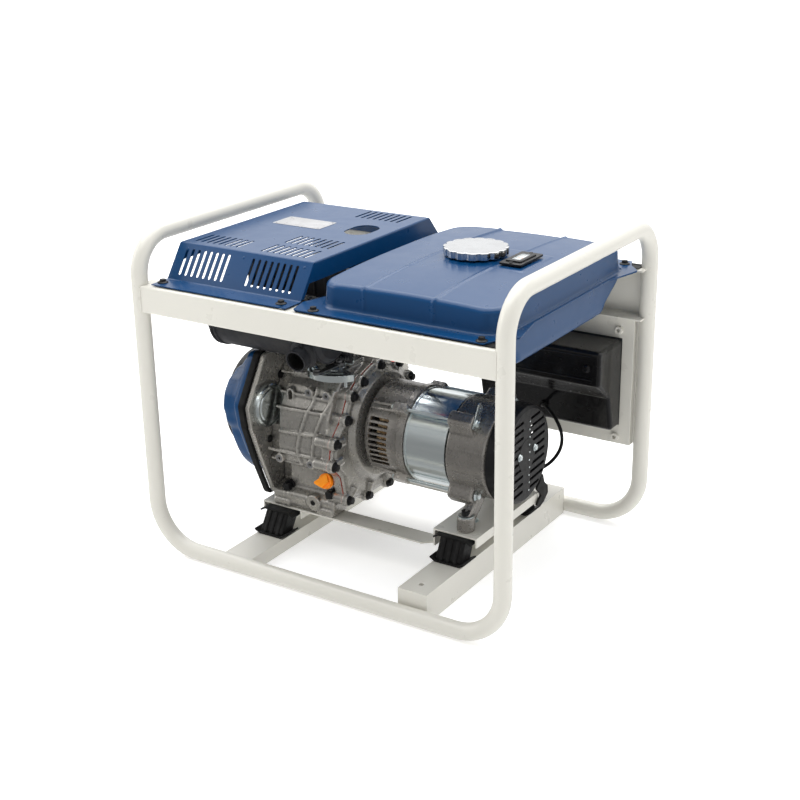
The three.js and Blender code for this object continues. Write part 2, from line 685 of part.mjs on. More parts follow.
/** Fan cover with two columns of horizontal louvres that stop short of the rounded rim. */
function endCover() {
  const slots = [];
  for (let i = 0; i < LOUVRE.rows; i += 1) {
    const rise = LOUVRE.top - i * LOUVRE.pitch;
    const outer = Math.min(LOUVRE.outer, Math.sqrt(LOUVRE.rim ** 2 - rise ** 2));
    for (const span of [[LOUVRE.inner, outer], [-outer, -LOUVRE.inner]]) {
      const z = AXIS_Z + rise;
      slots.push(box([ALT.cover - 5, ALT.cover + 1], span, [z - LOUVRE.half, z + LOUVRE.half]));
    }
  }
  return cut(turned('x', [
    [0, ALT.cover - 3], [70, ALT.cover - 3], [75, ALT.cover - 9], [75, ALT.end + GAP],
    [78, ALT.end + GAP], [78, ALT.cover - 8], [73, ALT.cover], [0, ALT.cover],
  ], [0, AXIS_Z], 32), ...slots);
}

part('alternator_end_cover', endCover(), BLACK_PLASTIC);

/** Output lead from the rear bell to the back of the control box. */
part('alternator_lead', swept([
  [186, 62.5, 148.5], [188, 72, 141], [193, 84, 134], [201, 95, 132], [211, 103, 138], [221, 109, 150],
  [228, 113, 165], [229, 117, 180], [223, 123, 194], [211, 131, 206], [197, 140, 213], [183, 151, 216],
  [172, 162, 213], [166, 171, 208], [164, 175, 206.5], [164, 180.6, 206],
], 2.75, 8), BLACK_RUBBER);

// ---------------------------------------------------------------- fuel tank

/** Welding flange of the tank, with an ear at each corner. */
function tankFlange(z0, z1, inset) {
  const leftEar = [[-12, 130], [-33, 200], [-24, 236]];
  const rightEar = [[284, 236], [293, 213], [314, 189], [299, 120]];
  const rearHalf = [...leftEar, ...rightEar];
  const outline = [...rearHalf, ...rearHalf.map(([x, y]) => [x, -y]).reverse()];
  const middle = (TANK.left + TANK.right) / 2;
  const shrink = (value, centre) => value - Math.sign(value - centre) * inset;
  return prism('z', outline.map(([x, y]) => [shrink(x, middle), shrink(y, 0)]), z0, z1);
}

/** Cross-sections of the tank's upper half, moved inwards by a wall thickness. */
function upperLayers(wall, base) {
  const { left, right, front, rear, crown } = TANK;
  const size = [left, right, front, rear];
  const rows = [[base, 0], [crown - 17, 0], [crown - 11, 3], [crown - 7, 10], [crown - 2.5, 30], [crown, 55]];
  return rows.map(([z, inset]) =>
    [z === base ? z : z - wall, inset + wall, ...size, Math.max(30 - inset * 0.3, 12)]);
}

function lowerLayers(wall, top) {
  const { left, right, front, rear, seam, floor } = TANK;
  return [
    [floor + wall, wall, left + 14, right - 6, -156, 141, 24],
    [floor + 6 + wall, wall, left + 8, right - 1, -164, 149, 28],
    [seam - 12, wall, left, right, front + 6, rear - 4, 30],
    [top, wall, left, right, front + 3, rear, 30],
  ];
}

const TANK_WALL = 1.5;
part('tank_upper_shell', cut(
  join(stacked(upperLayers(0, TANK.seam)), tankFlange(TANK.seam, TANK.seam + 2, 0)),
  stacked(upperLayers(TANK_WALL, TANK.seam - 1)),
  bar('z', 32, 480, 500, [FILLER.x, FILLER.y], 20),
  ...tubesToCope(),
), BLUE_PAINT);
part('tank_lower_shell', cut(
  join(stacked(lowerLayers(0, TANK.seam - GAP)), tankFlange(TANK.seam - GAP - 1.5, TANK.seam - GAP, 3)),
  stacked(lowerLayers(TANK_WALL, TANK.seam)),
  ...tubesToCope(),
), BLUE_PAINT);

part('fuel_strainer', turned('z', [
  [0, 446], [25, 446], [28, 449], [28, TANK.crown + GAP], [37, TANK.crown + GAP], [37, TANK.crown + 2],
  [26.5, TANK.crown + 2], [26.5, 450], [24, 447.5], [0, 447.5],
], [FILLER.x, FILLER.y], 20), ZINC);

/** Filler cap with a fluted grip and a short plug inside the neck. */
function fuelCap() {
  const [flutes, r, depth, height] = [16, 49, 2.4, 11.5];
  const steps = 3;
  const rim = Array.from({ length: flutes * steps }, (_, i) => {
    const a = (i / (flutes * steps)) * Math.PI * 2;
    const dip = Math.max(0, -Math.cos(a * flutes)) ** 2;
    return [FILLER.x + (r - depth * dip) * Math.cos(a), FILLER.y + (r - depth * dip) * Math.sin(a)];
  });
  const base = TANK.crown + 2 + GAP;
  return join(
    prism('z', rim, base, base + height),
    bar('z', 24, base - 12, base + 1, [FILLER.x, FILLER.y]),
  );
}

part('fuel_cap', fuelCap(), CHROME);

part('fuel_gauge', join(
  box([192, 228], [-30, 42], [TANK.crown + GAP, TANK.crown + 4]),
  box([198, 222], [-16, 28], [TANK.crown + 3, TANK.crown + 6]),
), BLACK_PLASTIC);

const TAP = { x: 40, y: -60, low: 352 };
part('fuel_tap', join(
  bar('z', 11, TAP.low, 384, [TAP.x, TAP.y], 20),
  bar('z', 6, 383, TANK.floor - GAP, [TAP.x, TAP.y], 14),
  bar('y', 5, TAP.y, TAP.y + 34, [TAP.x, 362], 14),
), STEEL);
part('fuel_tap_lever', join(
  bar('y', 6, TAP.y - 20, TAP.y - 11 - GAP, [TAP.x, 368], 16),
  box([TAP.x - 4, TAP.x + 4], [TAP.y - 20, TAP.y - 16], [336, 368]),
), RED);

// ---------------------------------------------------------------- louvred cover

/** Bent sheet over the engine with ventilation slots in its front slope and top. */
function louvredCover() {
  const { left, right, flangeZ, topZ, sheet } = COVER;
  const bendY = 199;
  const path = [[236, flangeZ], [bendY, flangeZ], [154, topZ - sheet], [-163, topZ - sheet],
    [-bendY, flangeZ], [-236, flangeZ]];
  const flap = [[-161, topZ - 1], [-182, 471], [172, 471], [152, topZ - 1]];
  const shell = join(
    prism('x', folded(path, -sheet), left, right),
    prism('x', flap, left, left + sheet),
    prism('x', flap, right - sheet, right),
  );
  const pitch = 11.5;
  const slots = [];
  const group = (x0, [y0, y1], [z0, z1]) => {
    for (let i = 0; i < 8; i += 1) {
      slots.push(box([x0 + i * pitch, x0 + i * pitch + 5], [y0, y1], [z0, z1]));
    }
  };
  for (const x0 of [-272, -145]) group(x0, [-200, -160], [459, 491]);
  group(-271, [-151, -107], [490, 510]);
  group(-145, [-151, -107], [490, 510]);
  group(-145, [-92, -46], [490, 510]);
  group(-145, [98, 145], [490, 510]);
  const window = [...arc(-85, 42, 22, 0, 180, 8), ...arc(-85, 20, 22, 180, 360, 8)];
  return cut(shell, ...slots, prism('z', window, 490, 510));
}

part('louvred_cover', louvredCover(), BLUE_PAINT);

// ---------------------------------------------------------------- control panel

/** Folded frame that carries the panel, with an opening for the control box. */
function panelFrame() {
  const { left, right, low, high, inner, outer } = PANEL;
  return cut(
    box([left, right], [inner, outer], [low, high]),
    box([left + SHEET, right - SHEET], [inner + SHEET, outer + 1], [low + SHEET, high - SHEET]),
    box([left + 20, right - 20], [inner - 1, outer + 1], [low + 32, high - 36]),
  );
}

part('panel_frame', panelFrame(), WHITE_PAINT);

/** Black box behind the panel: its inner side slopes back towards the bottom. */
function controlBox() {
  const back = PANEL.inner - GAP;
  const outline = [[back, 327], [136, 327], [136, 271], [174, 240], [187, 184], [191, 180], [back, 180]];
  const inside = [[back + 1, 324], [139, 324], [139, 272.5], [176.5, 242], [190, 185.5], [193, 183],
    [back + 1, 183]];
  return cut(prism('x', outline, 46, 281), prism('x', inside, 49, 278));
}

part('control_box', controlBox(), BLACK_PLASTIC);

const METER = { x: 92, z: 290, r: 24 };
const KEY = { x: 238, z: 292, r: 11 };
const BREAKER = { x: 166, z: 291 };
const SOCKETS = { left: { x: 226, z: 216 }, right: { x: 110, z: 216 } };

/** Distance range in front of (positive) or behind (negative) the panel's face. */
const face = (from, to) => [PANEL.face + from, PANEL.face + to];

function controlPanel() {
  const { left, right, low, high } = PANEL;
  const edge = SHEET + GAP;
  const depth = face(-4, 2);
  return cut(
    box([left + edge, right - edge], [PANEL.inner + SHEET + GAP, PANEL.face], [low + edge, high - edge]),
    bar('y', METER.r + GAP, ...depth, [METER.x, METER.z], 24),
    bar('y', KEY.r + GAP, ...depth, [KEY.x, KEY.z]),
    box([BREAKER.x - 17.3, BREAKER.x + 17.3], depth, [BREAKER.z - 24.3, BREAKER.z + 24.3]),
    ...Object.values(SOCKETS).map(({ x, z }) => bar('y', 25 + GAP, ...depth, [x, z], 24)),
  );
}

part('control_panel', controlPanel(), PANEL_GREY);

/** Turned instrument; the profile's second value is a distance from the panel's face. */
function instrument(profile, { x, z }) {
  return turned('y', profile.map(([r, h]) => [r, PANEL.face + h]), [x, z]);
}

part('voltmeter', instrument([
  [0, -33], [METER.r, -33], [METER.r, GAP], [28, GAP], [28, 5], [25, 7], [24, 5.5], [0, 5.5],
], METER), BLACK_PLASTIC);

/** Round mains socket: a flange, a deep body and a recess that takes the plug. */
for (const [name, { x, z }] of Object.entries(SOCKETS)) {
  part(`socket_${name}`, cut(
    join(
      prism('y', roundedRect(x - 29, x + 29, z - 29, z + 29, 7, 2), ...face(GAP, 6)),
      bar('y', 25, ...face(-30, 2), [x, z], 24),
    ),
    bar('y', 20, ...face(-13, 7), [x, z], 24),
  ), BLACK_PLASTIC);
}

part('breaker_body', cut(
  join(
    box([BREAKER.x - 17, BREAKER.x + 17], face(-36, 3), [BREAKER.z - 24, BREAKER.z + 24]),
    box([BREAKER.x - 21, BREAKER.x + 21], face(GAP, 3), [BREAKER.z - 29, BREAKER.z + 29]),
  ),
  box([BREAKER.x - 10, BREAKER.x + 10], face(-14, 4), [BREAKER.z - 15, BREAKER.z + 15]),
), BLACK_PLASTIC);

const TOGGLE_DEPTH = -5;
part('breaker_toggle', join(
  bar('x', 6, BREAKER.x - 8, BREAKER.x + 8, [PANEL.face + TOGGLE_DEPTH, BREAKER.z]),
  prism('x', [[TOGGLE_DEPTH, -3], [TOGGLE_DEPTH, 3], [9, 10], [10, 5]].map(
    ([y, z]) => [PANEL.face + y, BREAKER.z + z]), BREAKER.x - 8, BREAKER.x + 8),
), RED);

part('key_switch', cut(
  instrument([[0, -30], [KEY.r, -30], [KEY.r, GAP], [15, GAP], [15, 4], [0, 4]], KEY),
  bar('y', 6, ...face(-12, 5), [KEY.x, KEY.z]),
), CHROME);
part('ignition_key', join(
  box([KEY.x - 1, KEY.x + 1], face(-10, 7), [KEY.z - 4, KEY.z + 4]),
  prism('y', roundedRect(KEY.x - 2.5, KEY.x + 2.5, KEY.z - 11, KEY.z + 11, 2), ...face(5, 19)),
), STEEL);

export default generator;
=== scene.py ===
"""Looks of the open-frame generator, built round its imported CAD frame. Shapes are in millimetres."""

import math

import bmesh
import bpy
from mathutils import Matrix, Vector


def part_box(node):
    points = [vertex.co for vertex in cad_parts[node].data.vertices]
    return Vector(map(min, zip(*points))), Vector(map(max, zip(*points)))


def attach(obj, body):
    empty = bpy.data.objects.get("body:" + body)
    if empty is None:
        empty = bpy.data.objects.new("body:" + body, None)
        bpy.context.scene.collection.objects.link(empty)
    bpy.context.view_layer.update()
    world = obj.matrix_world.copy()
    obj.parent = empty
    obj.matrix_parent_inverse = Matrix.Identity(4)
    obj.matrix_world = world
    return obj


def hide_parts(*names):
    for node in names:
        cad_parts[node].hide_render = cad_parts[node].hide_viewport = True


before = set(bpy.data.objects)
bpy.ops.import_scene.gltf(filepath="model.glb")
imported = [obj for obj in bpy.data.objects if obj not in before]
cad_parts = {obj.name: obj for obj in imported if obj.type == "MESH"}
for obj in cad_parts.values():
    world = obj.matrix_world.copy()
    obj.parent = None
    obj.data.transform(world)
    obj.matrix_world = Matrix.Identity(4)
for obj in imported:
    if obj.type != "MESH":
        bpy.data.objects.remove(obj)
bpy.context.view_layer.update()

MM = 0.001


# ---------------------------------------------------------------- places taken from the frame

def span(node):
    """Lowest and highest corner of a CAD node, in millimetres."""
    low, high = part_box(node)
    return low / MM, high / MM


TUBE_R = 13
POST_X = span("right_hoop")[1].x - TUBE_R
POST_Y = span("right_hoop")[1].y - TUBE_R
HANDLE_Z = span("right_hoop")[1].z - TUBE_R
FOOT_BEND = 76
HANDLE_BEND = 60
AXIS_Z = 196
AXIS = (0, AXIS_Z)


# ---------------------------------------------------------------- outlines

def arc(cx, cy, r, start, end, steps):
    """Points on an arc, angles in degrees."""
    turns = [math.radians(start + (end - start) * i / steps) for i in range(steps + 1)]
    return [(cx + r * math.cos(a), cy + r * math.sin(a)) for a in turns]


def rounded_rect(a0, a1, b0, b1, r, steps=5):
    """Rectangle with round corners, anticlockwise."""
    return (
        arc(a1 - r, b1 - r, r, 0, 90, steps) + arc(a0 + r, b1 - r, r, 90, 180, steps)
        + arc(a0 + r, b0 + r, r, 180, 270, steps) + arc(a1 - r, b0 + r, r, 270, 360, steps)
    )


def soften(points, radius, steps=4, closed=True):
    """The same outline with its corners rounded."""
    points = [Vector(p) for p in points]
    made = []
    count = len(points)
    for i, here in enumerate(points):
        if not closed and i in (0, count - 1):
            made.append(here)
            continue
        before, after = points[i - 1], points[(i + 1) % count]
        a, b = before - here, after - here
        if a.length < 1e-6 or b.length < 1e-6:
            made.append(here)
            continue
        angle = a.angle(b)
        if angle > math.radians(176):
            made.append(here)
            continue
        cut = min(radius / math.tan(angle / 2), a.length * 0.48, b.length * 0.48)
        start, end = here + a.normalized() * cut, here + b.normalized() * cut
        for k in range(steps + 1):
            t = k / steps
            made.append(start * (1 - t) ** 2 + here * (2 * t * (1 - t)) + end * t * t)
    return [tuple(p) for p in made]


def clockwise(outline):
    area = sum(a[0] * b[1] - b[0] * a[1] for a, b in zip(outline, outline[1:] + outline[:1]))
    return area < 0


def inset(outline, distance):
    """Outline moved inwards by a distance; it runs anticlockwise."""
    count = len(outline)
    made = []
    for i in range(count):
        p, q, r = (Vector(outline[k % count]) for k in (i - 1, i, i + 1))
        n0 = Vector((-(q - p).y, (q - p).x))
        n1 = Vector((-(r - q).y, (r - q).x))
        n0 = n0.normalized() if n0.length > 1e-9 else n1.normalized()
        n1 = n1.normalized() if n1.length > 1e-9 else n0
        spread = max(1 + n0.dot(n1), 0.35)
        made.append(tuple(q + (n0 + n1) * (distance / spread)))
    return made


def sheet_outline(path, thickness, radius, steps=4):
    """Section of a bent sheet: a line with rounded bends, thickened to both sides."""
    line = [Vector(p) for p in soften(path, radius, steps, closed=False)]
    left, right = [], []
    for i, here in enumerate(line):
        n = []
        for a, b in ((max(i - 1, 0), max(i, 1)), (min(i, len(line) - 2), min(i + 1, len(line) - 1))):
            d = line[b] - line[a]
            n.append(Vector((-d.y, d.x)).normalized())
        shift = (n[0] + n[1]) * (thickness / 2 / (1 + n[0].dot(n[1])))
        left.append(tuple(here + shift))
        right.append(tuple(here - shift))
    return left + right[::-1]


# ---------------------------------------------------------------- forms: (vertices, faces)

def place(axis, a, b, c):
    """Point from two coordinates across an axis, in X, Y, Z order, and one along it."""
    return {"x": (c, a, b), "y": (a, c, b), "z": (a, b, c)}[axis]


def outward(form):
    """Form with its faces turned to point out."""
    bm = to_bmesh(form)
    bmesh.ops.recalc_face_normals(bm, faces=bm.faces)
    return from_bmesh(bm)


def to_bmesh(form):
    bm = bmesh.new()
    made = [bm.verts.new(v) for v in form[0]]
    for face in form[1]:
        if len(set(face)) > 2:
            bm.faces.new([made[i] for i in face])
    return bm


def from_bmesh(bm):
    bm.verts.index_update()
    form = [v.co.copy() for v in bm.verts], [tuple(v.index for v in f.verts) for f in bm.faces]
    bm.free()
    return form


def merge(*forms):
    """Several forms as one."""
    verts, faces = [], []
    for v, f in forms:
        base = len(verts)
        verts += v
        faces += [tuple(i + base for i in face) for face in f]
    return verts, faces


def moved(form, matrix):
    return [matrix @ Vector(v) for v in form[0]], form[1]


def shifted(form, x=0, y=0, z=0):
    return moved(form, Matrix.Translation((x, y, z)))


def turned_about(form, axis, degrees, pivot=(0, 0, 0)):
    spin = Matrix.Rotation(math.radians(degrees), 4, axis.upper())
    return moved(form, Matrix.Translation(pivot) @ spin @ Matrix.Translation(-Vector(pivot)))


def round_shaft(form, degrees):
    """Form made above the X axis, lifted to the engine's shaft and turned round it."""
    return turned_about(shifted(form, z=AXIS_Z), "x", degrees, (0, 0, AXIS_Z))


def mirrored(form, axis):
    """Form reflected in the plane through the origin across an axis, faces kept outward."""
    k = "xyz".index(axis)
    verts = [Vector([-c if i == k else c for i, c in enumerate(v)]) for v in form[0]]
    return verts, [face[::-1] for face in form[1]]


def rings_form(rings, closed_ends=True, loop=False):
    """Skin through rings of points that all have the same count."""
    count = len(rings[0])
    verts = [Vector(p) for ring in rings for p in ring]
    faces = []
    spans = len(rings) if loop else len(rings) - 1
    for r in range(spans):
        a, b = r * count, ((r + 1) % len(rings)) * count
        for i in range(count):
            j = (i + 1) % count
            faces.append((a + i, a + j, b + j, b + i))
    if closed_ends and not loop:
        faces.append(tuple(range(count))[::-1])
        last = (len(rings) - 1) * count
        faces.append(tuple(last + i for i in range(count)))
    return outward((verts, faces))


def lathe(axis, profile, at, segments=72, soft=0.0, steps=3):
    """Turned form: (radius, position) pairs go round an axis that passes through `at`."""
    on_axis = profile[0][0] == 0 and profile[-1][0] == 0
    if soft:
        profile = soften(profile, soft, steps, closed=not on_axis)
    verts, faces, rows = [], [], []
    for r, h in profile:
        if r <= 1e-6:
            rows.append([len(verts)] * segments)
            verts.append(Vector(place(axis, at[0], at[1], h)))
            continue
        row = []
        for i in range(segments):
            a = 2 * math.pi * i / segments
            row.append(len(verts))
            verts.append(Vector(place(axis, at[0] + r * math.cos(a), at[1] + r * math.sin(a), h)))
        rows.append(row)
    pairs = list(zip(rows, rows[1:])) if on_axis else list(zip(rows, rows[1:] + rows[:1]))
    for low, high in pairs:
        for i in range(segments):
            j = (i + 1) % segments
            face = [low[i], low[j], high[j], high[i]]
            face = [v for k, v in enumerate(face) if v != face[k - 1]]
            if len(face) > 2:
                faces.append(tuple(face))
    return outward((verts, faces))


def bar(axis, radius, low, high, at, segments=40, soft=0.6, end_radius=None):
    """Round bar with its rims rounded."""
    top = radius if end_radius is None else end_radius
    return lathe(axis, [(0, low), (radius, low), (top, high), (0, high)], at, segments, soft)


def hoop(axis, inner, outer, low, high, at, segments, soft=0.0):
    """Plain ring with its rims rounded."""
    return lathe(axis, [(inner, low), (outer, low), (outer, high), (inner, high)], at, segments, soft)


def prism(axis, outline, low, high, soft=0.6, steps=2):
    """Outline extruded along an axis with its rims rounded."""
    outline = [tuple(p) for p in outline]
    if clockwise(outline):
        outline = outline[::-1]
    soft = min(soft, (high - low) * 0.45)
    rings = []
    if soft:
        curve = [math.pi / 2 * k / steps for k in range(steps + 1)]
        for a in curve:
            rings.append((inset(outline, soft * (1 - math.sin(a))), low + soft * (1 - math.cos(a))))
        for a in curve[::-1]:
            rings.append((inset(outline, soft * (1 - math.sin(a))), high - soft * (1 - math.cos(a))))
    else:
        rings = [(outline, low), (outline, high)]
    return rings_form([[place(axis, a, b, c) for a, b in ring] for ring, c in rings])


def block(x, y, z, soft=0.8):
    """Box between two corners with its edges rounded."""
    bm = bmesh.new()
    bmesh.ops.create_cube(bm, size=1)
    for v in bm.verts:
        v.co = [lo + (hi - lo) * (c + 0.5) for (lo, hi), c in zip((x, y, z), v.co)]
    if soft:
        bmesh.ops.bevel(bm, geom=bm.edges[:], offset=soft, segments=2, profile=0.6, affect="EDGES",
                        clamp_overlap=True)
    return from_bmesh(bm)


def tube(points, radius, sides=20, loop=False, radii=None):
    """Round rod that follows a list of points; its section doesn't twist."""
    points = [Vector(p) for p in points]
    count = len(points)
    tangents = []
    for i in range(count):
        a = points[i - 1] if loop or i else points[i]
        b = points[(i + 1) % count] if loop or i < count - 1 else points[i]
        tangents.append((b - a).normalized())
    side = tangents[0].orthogonal().normalized()
    turns = [2 * math.pi * k / sides for k in range(sides)]
    rings = []
    for i, (p, t) in enumerate(zip(points, tangents)):
        side = (side - t * side.dot(t)).normalized()
        other = t.cross(side)
        r = radii[i] if radii else radius
        rings.append([p + side * (r * math.cos(a)) + other * (r * math.sin(a)) for a in turns])
    return rings_form(rings, loop=loop)


def smooth_path(points, steps=6, loop=False):
    """Catmull-Rom curve through a few points."""
    points = [Vector(p) for p in points]
    if not loop:
        points = [points[0] * 2 - points[1], *points, points[-1] * 2 - points[-2]]
    made = []
    for i in range(1, len(points) - 2):
        a, b, c, d = points[i - 1:i + 3]
        for k in range(steps):
            t = k / steps
            made.append(0.5 * (2 * b + (c - a) * t + (2 * a - 5 * b + 4 * c - d) * t * t
                               + (3 * b - a - 3 * c + d) * t ** 3))
    return made + [points[-2]]


def bend(centre, radius, start, end, steps=12):
    """Quarter bend about a centre, from one direction to another."""
    centre, start, end = Vector(centre), Vector(start), Vector(end)
    made = []
    for i in range(steps + 1):
        a = math.pi / 2 * i / steps
        made.append(centre + start * (radius * math.cos(a)) + end * (radius * math.sin(a)))
    return made


def temporary(form):
    mesh = bpy.data.meshes.new("form")
    mesh.from_pydata([tuple(v) for v in form[0]], [], form[1])
    mesh.update()
    obj = bpy.data.objects.new("form", mesh)
    bpy.context.scene.collection.objects.link(obj)
    return obj


def evaluated(obj, *others):
    """The form of an object after its modifiers; the objects are removed."""
    bpy.context.view_layer.update()
    graph = bpy.context.evaluated_depsgraph_get()
    mesh = bpy.data.meshes.new_from_object(obj.evaluated_get(graph))
    form = [v.co.copy() for v in mesh.vertices], [tuple(p.vertices) for p in mesh.polygons]
    bpy.data.meshes.remove(mesh)
    for o in (obj, *others):
        data = o.data
        bpy.data.objects.remove(o)
        bpy.data.meshes.remove(data)
    return form


def carved(form, *cutters, bevel=0.0, angle=32, loose=False):
    """Form with the cutters taken out of it, then its edges bevelled; `loose` forms overlap themselves."""
    body = temporary(form)
    tool = temporary(merge(*cutters))
    boolean = body.modifiers.new("cut", "BOOLEAN")
    boolean.object = tool
    boolean.operation = "DIFFERENCE"
    boolean.solver = "EXACT"
    boolean.use_self = loose
    if bevel:
        add_bevel(body, bevel, angle)
    return evaluated(body, tool)


def add_bevel(obj, width, angle=32, segments=2):
    edge = obj.modifiers.new("edges", "BEVEL")
    edge.width = width
    edge.segments = segments
    edge.limit_method = "ANGLE"
    edge.angle_limit = math.radians(angle)
    edge.miter_outer = "MITER_ARC"


def cast(form, voxel=1.5, smooth=3):
    """Overlapping forms run together as one casting with soft fillets."""
    body = temporary(form)
    remesh = body.modifiers.new("melt", "REMESH")
    remesh.mode = "VOXEL"
    remesh.voxel_size = voxel
    soft = body.modifiers.new("soft", "SMOOTH")
    soft.iterations = smooth
    soft.factor = 0.6
    return evaluated(body)


# ---------------------------------------------------------------- materials

class Nodes:
    """Short hand for building a shader tree on a Principled surface."""

    def __init__(self, name, color, roughness, metallic=0.0, **fixed):
        self.material = bpy.data.materials.new(name)
        self.material.use_nodes = True
        self.tree = self.material.node_tree
        self.shader = self.tree.nodes["Principled BSDF"]
        self.color = color
        self.put(self.shader, "Base Color", (*color, 1))
        self.put(self.shader, "Roughness", roughness)
        self.put(self.shader, "Metallic", metallic)
        for socket, value in fixed.items():
            self.put(self.shader, socket.replace("_", " "), value)
        self.place = self.node("ShaderNodeTexCoord").outputs["Object"]

    def put(self, node, socket, value):
        node.inputs[socket].default_value = value

    def node(self, kind, **settings):
        made = self.tree.nodes.new(kind)
        for key, value in settings.items():
            setattr(made, key, value)
        return made

    def link(self, source, target):
        self.tree.links.new(source, target)

    def stretched(self, scale):
        """Coordinates scaled unevenly, for streaks and brushing."""
        mapping = self.node("ShaderNodeMapping")
        self.put(mapping, "Scale", scale)
        self.link(self.place, mapping.inputs["Vector"])
        return mapping.outputs["Vector"]

    def noise(self, scale, detail=3.0, where=None):
        made = self.node("ShaderNodeTexNoise")
        self.put(made, "Scale", scale)
        self.put(made, "Detail", detail)
        self.link(where or self.place, made.inputs["Vector"])
        return made.outputs["Fac"]

    def cells(self, scale):
        made = self.node("ShaderNodeTexVoronoi")
        self.put(made, "Scale", scale)
        self.link(self.place, made.inputs["Vector"])
        return made.outputs["Distance"]

    def ranged(self, value, low, high, to_low=0.0, to_high=1.0):
        made = self.node("ShaderNodeMapRange")
        for socket, number in zip(("From Min", "From Max", "To Min", "To Max"),
                                  (low, high, to_low, to_high)):
            self.put(made, socket, number)
        self.link(value, made.inputs["Value"])
        return made.outputs["Result"]

    def tint(self, factor, color):
        """Mixes another colour into the base colour where factor is high."""
        made = self.node("ShaderNodeMix", data_type="RGBA")
        base = self.shader.inputs["Base Color"]
        if base.is_linked:
            self.link(base.links[0].from_socket, made.inputs["A"])
        else:
            made.inputs["A"].default_value = base.default_value
        made.inputs["B"].default_value = (*color, 1)
        self.link(factor, made.inputs["Factor"])
        self.link(made.outputs["Result"], base)

    def rough(self, value, low, high):
        self.link(self.ranged(value, 0.3, 0.7, low, high), self.shader.inputs["Roughness"])

    def bump(self, height, distance, strength=1.0):
        made = self.node("ShaderNodeBump")
        self.put(made, "Strength", strength)
        self.put(made, "Distance", distance)
        self.link(height, made.inputs["Height"])
        normal = self.shader.inputs["Normal"]
        if normal.is_linked:
            self.link(normal.links[0].from_socket, made.inputs["Normal"])
        self.link(made.outputs["Normal"], normal)

    def edges(self, low=0.5, high=0.6):
        """High on sharp outer edges and zero elsewhere."""
        return self.ranged(self.node("ShaderNodeNewGeometry").outputs["Pointiness"], low, high)

    def hollows(self, low=0.42, high=0.5):
        """High in inner corners and zero elsewhere."""
        return self.ranged(self.node("ShaderNodeNewGeometry").outputs["Pointiness"], low, high, 1.0, 0.0)


def shade(color, factor):
    return tuple(min(c * factor, 1.0) for c in color)


def powder_coat(name, color, low, high, orange_peel=0.00002, coat=0.25, specular=0.5):
    m = Nodes(name, color, low, Coat_Weight=coat, Coat_Roughness=0.14, Specular_IOR_Level=specular)
    m.tint(m.ranged(m.noise(5.0, 1.0), 0.35, 0.7), shade(color, 0.97))
    m.tint(m.ranged(m.noise(300.0, 2.0), 0.5, 0.75, 0.0, 0.1), shade(color, 1.06))
    m.rough(m.noise(35.0), low, high)
    m.bump(m.noise(380.0, 1.0), orange_peel, 0.5)
    m.bump(m.noise(12.0, 1.0), 0.0002, 0.05)
    return m.material


def cast_alloy(name, color, hollow_shade):
    m = Nodes(name, color, 0.4, 0.72)
    m.tint(m.ranged(m.noise(45.0, 3.0), 0.35, 0.7), shade(color, 0.86))
    # painted shade: darker in the inner corners, where shade would fall
    m.tint(m.hollows(0.44, 0.499), hollow_shade)
    # painted highlight: sharp outer edges lightened, as if light catches the ribs
    m.tint(m.edges(0.508, 0.57), shade(color, 1.8))
    m.rough(m.noise(120.0, 2.0), 0.22, 0.36)
    m.bump(m.noise(1300.0, 2.0), 0.00007, 0.6)
    m.bump(m.noise(200.0, 1.0), 0.00012, 0.25)
    return m.material


def zinc_plate(name, low, high, streak):
    color = (0.82, 0.88, 0.885)
    m = Nodes(name, color, low, 1.0)
    streaks = m.noise(9.0, 4.0, m.stretched((1.0, 6.0, 14.0)))
    m.tint(m.ranged(streaks, 0.4, 0.7, 0.0, streak), (0.50, 0.60, 0.62))
    m.tint(m.ranged(m.noise(60.0), 0.55, 0.75, 0.0, streak * 0.5), (0.76, 0.76, 0.68))
    m.rough(streaks, low, high)
    m.bump(m.noise(500.0, 2.0, m.stretched((0.15, 1.0, 1.0))), 0.00003, 0.4)
    return m.material


def chrome():
    color = (0.60, 0.61, 0.62)
    m = Nodes("chrome", color, 0.16, 1.0)
    m.tint(m.ranged(m.noise(40.0), 0.45, 0.7), shade(color, 0.9))
    m.rough(m.noise(90.0), 0.10, 0.24)
    m.bump(m.noise(420.0), 0.00002, 0.5)
    return m.material


def machined(name, color, low, high):
    m = Nodes(name, color, low, 1.0)
    rings = m.noise(400.0, 2.0, m.stretched((1.0, 0.08, 0.08)))
    m.tint(m.ranged(rings, 0.4, 0.7), shade(color, 0.75))
    # painted highlight: sharp outer edges lightened
    m.tint(m.edges(), shade(color, 1.3))
    m.rough(m.noise(70.0), low, high)
    m.bump(rings, 0.00004, 0.6)
    return m.material


def moulded(name, color, low, high, grain=1100.0, depth=0.00008, coat=0.0):
    m = Nodes(name, color, low, Coat_Weight=coat, Specular_IOR_Level=0.3)
    m.tint(m.ranged(m.noise(30.0), 0.4, 0.7), shade(color, 1.5))
    # painted highlight: sharp outer edges lightened
    m.tint(m.edges(), shade(color, 2.0))
    m.rough(m.noise(110.0), low, high)
    m.bump(m.cells(grain), depth, 0.6)
    return m.material


def rubber(name, color, dust):
    m = Nodes(name, color, 0.6, Sheen_Weight=0.04, Specular_IOR_Level=0.25)
    m.tint(m.ranged(m.noise(55.0, 5.0), 0.45, 0.7), dust)
    m.rough(m.noise(120.0), 0.5, 0.72)
    m.bump(m.noise(700.0), 0.0001, 0.6)
    return m.material


def heat_paint():
    color = (0.022, 0.023, 0.027)
    m = Nodes("heat paint", color, 0.5, 0.1, Specular_IOR_Level=0.3)
    m.tint(m.ranged(m.noise(20.0, 4.0), 0.4, 0.7), (0.035, 0.034, 0.034))
    m.tint(m.ranged(m.noise(240.0), 0.66, 0.74, 0.0, 0.3), (0.08, 0.05, 0.035))
    m.rough(m.noise(90.0), 0.42, 0.62)
    m.bump(m.noise(900.0), 0.0001, 0.7)
    return m.material


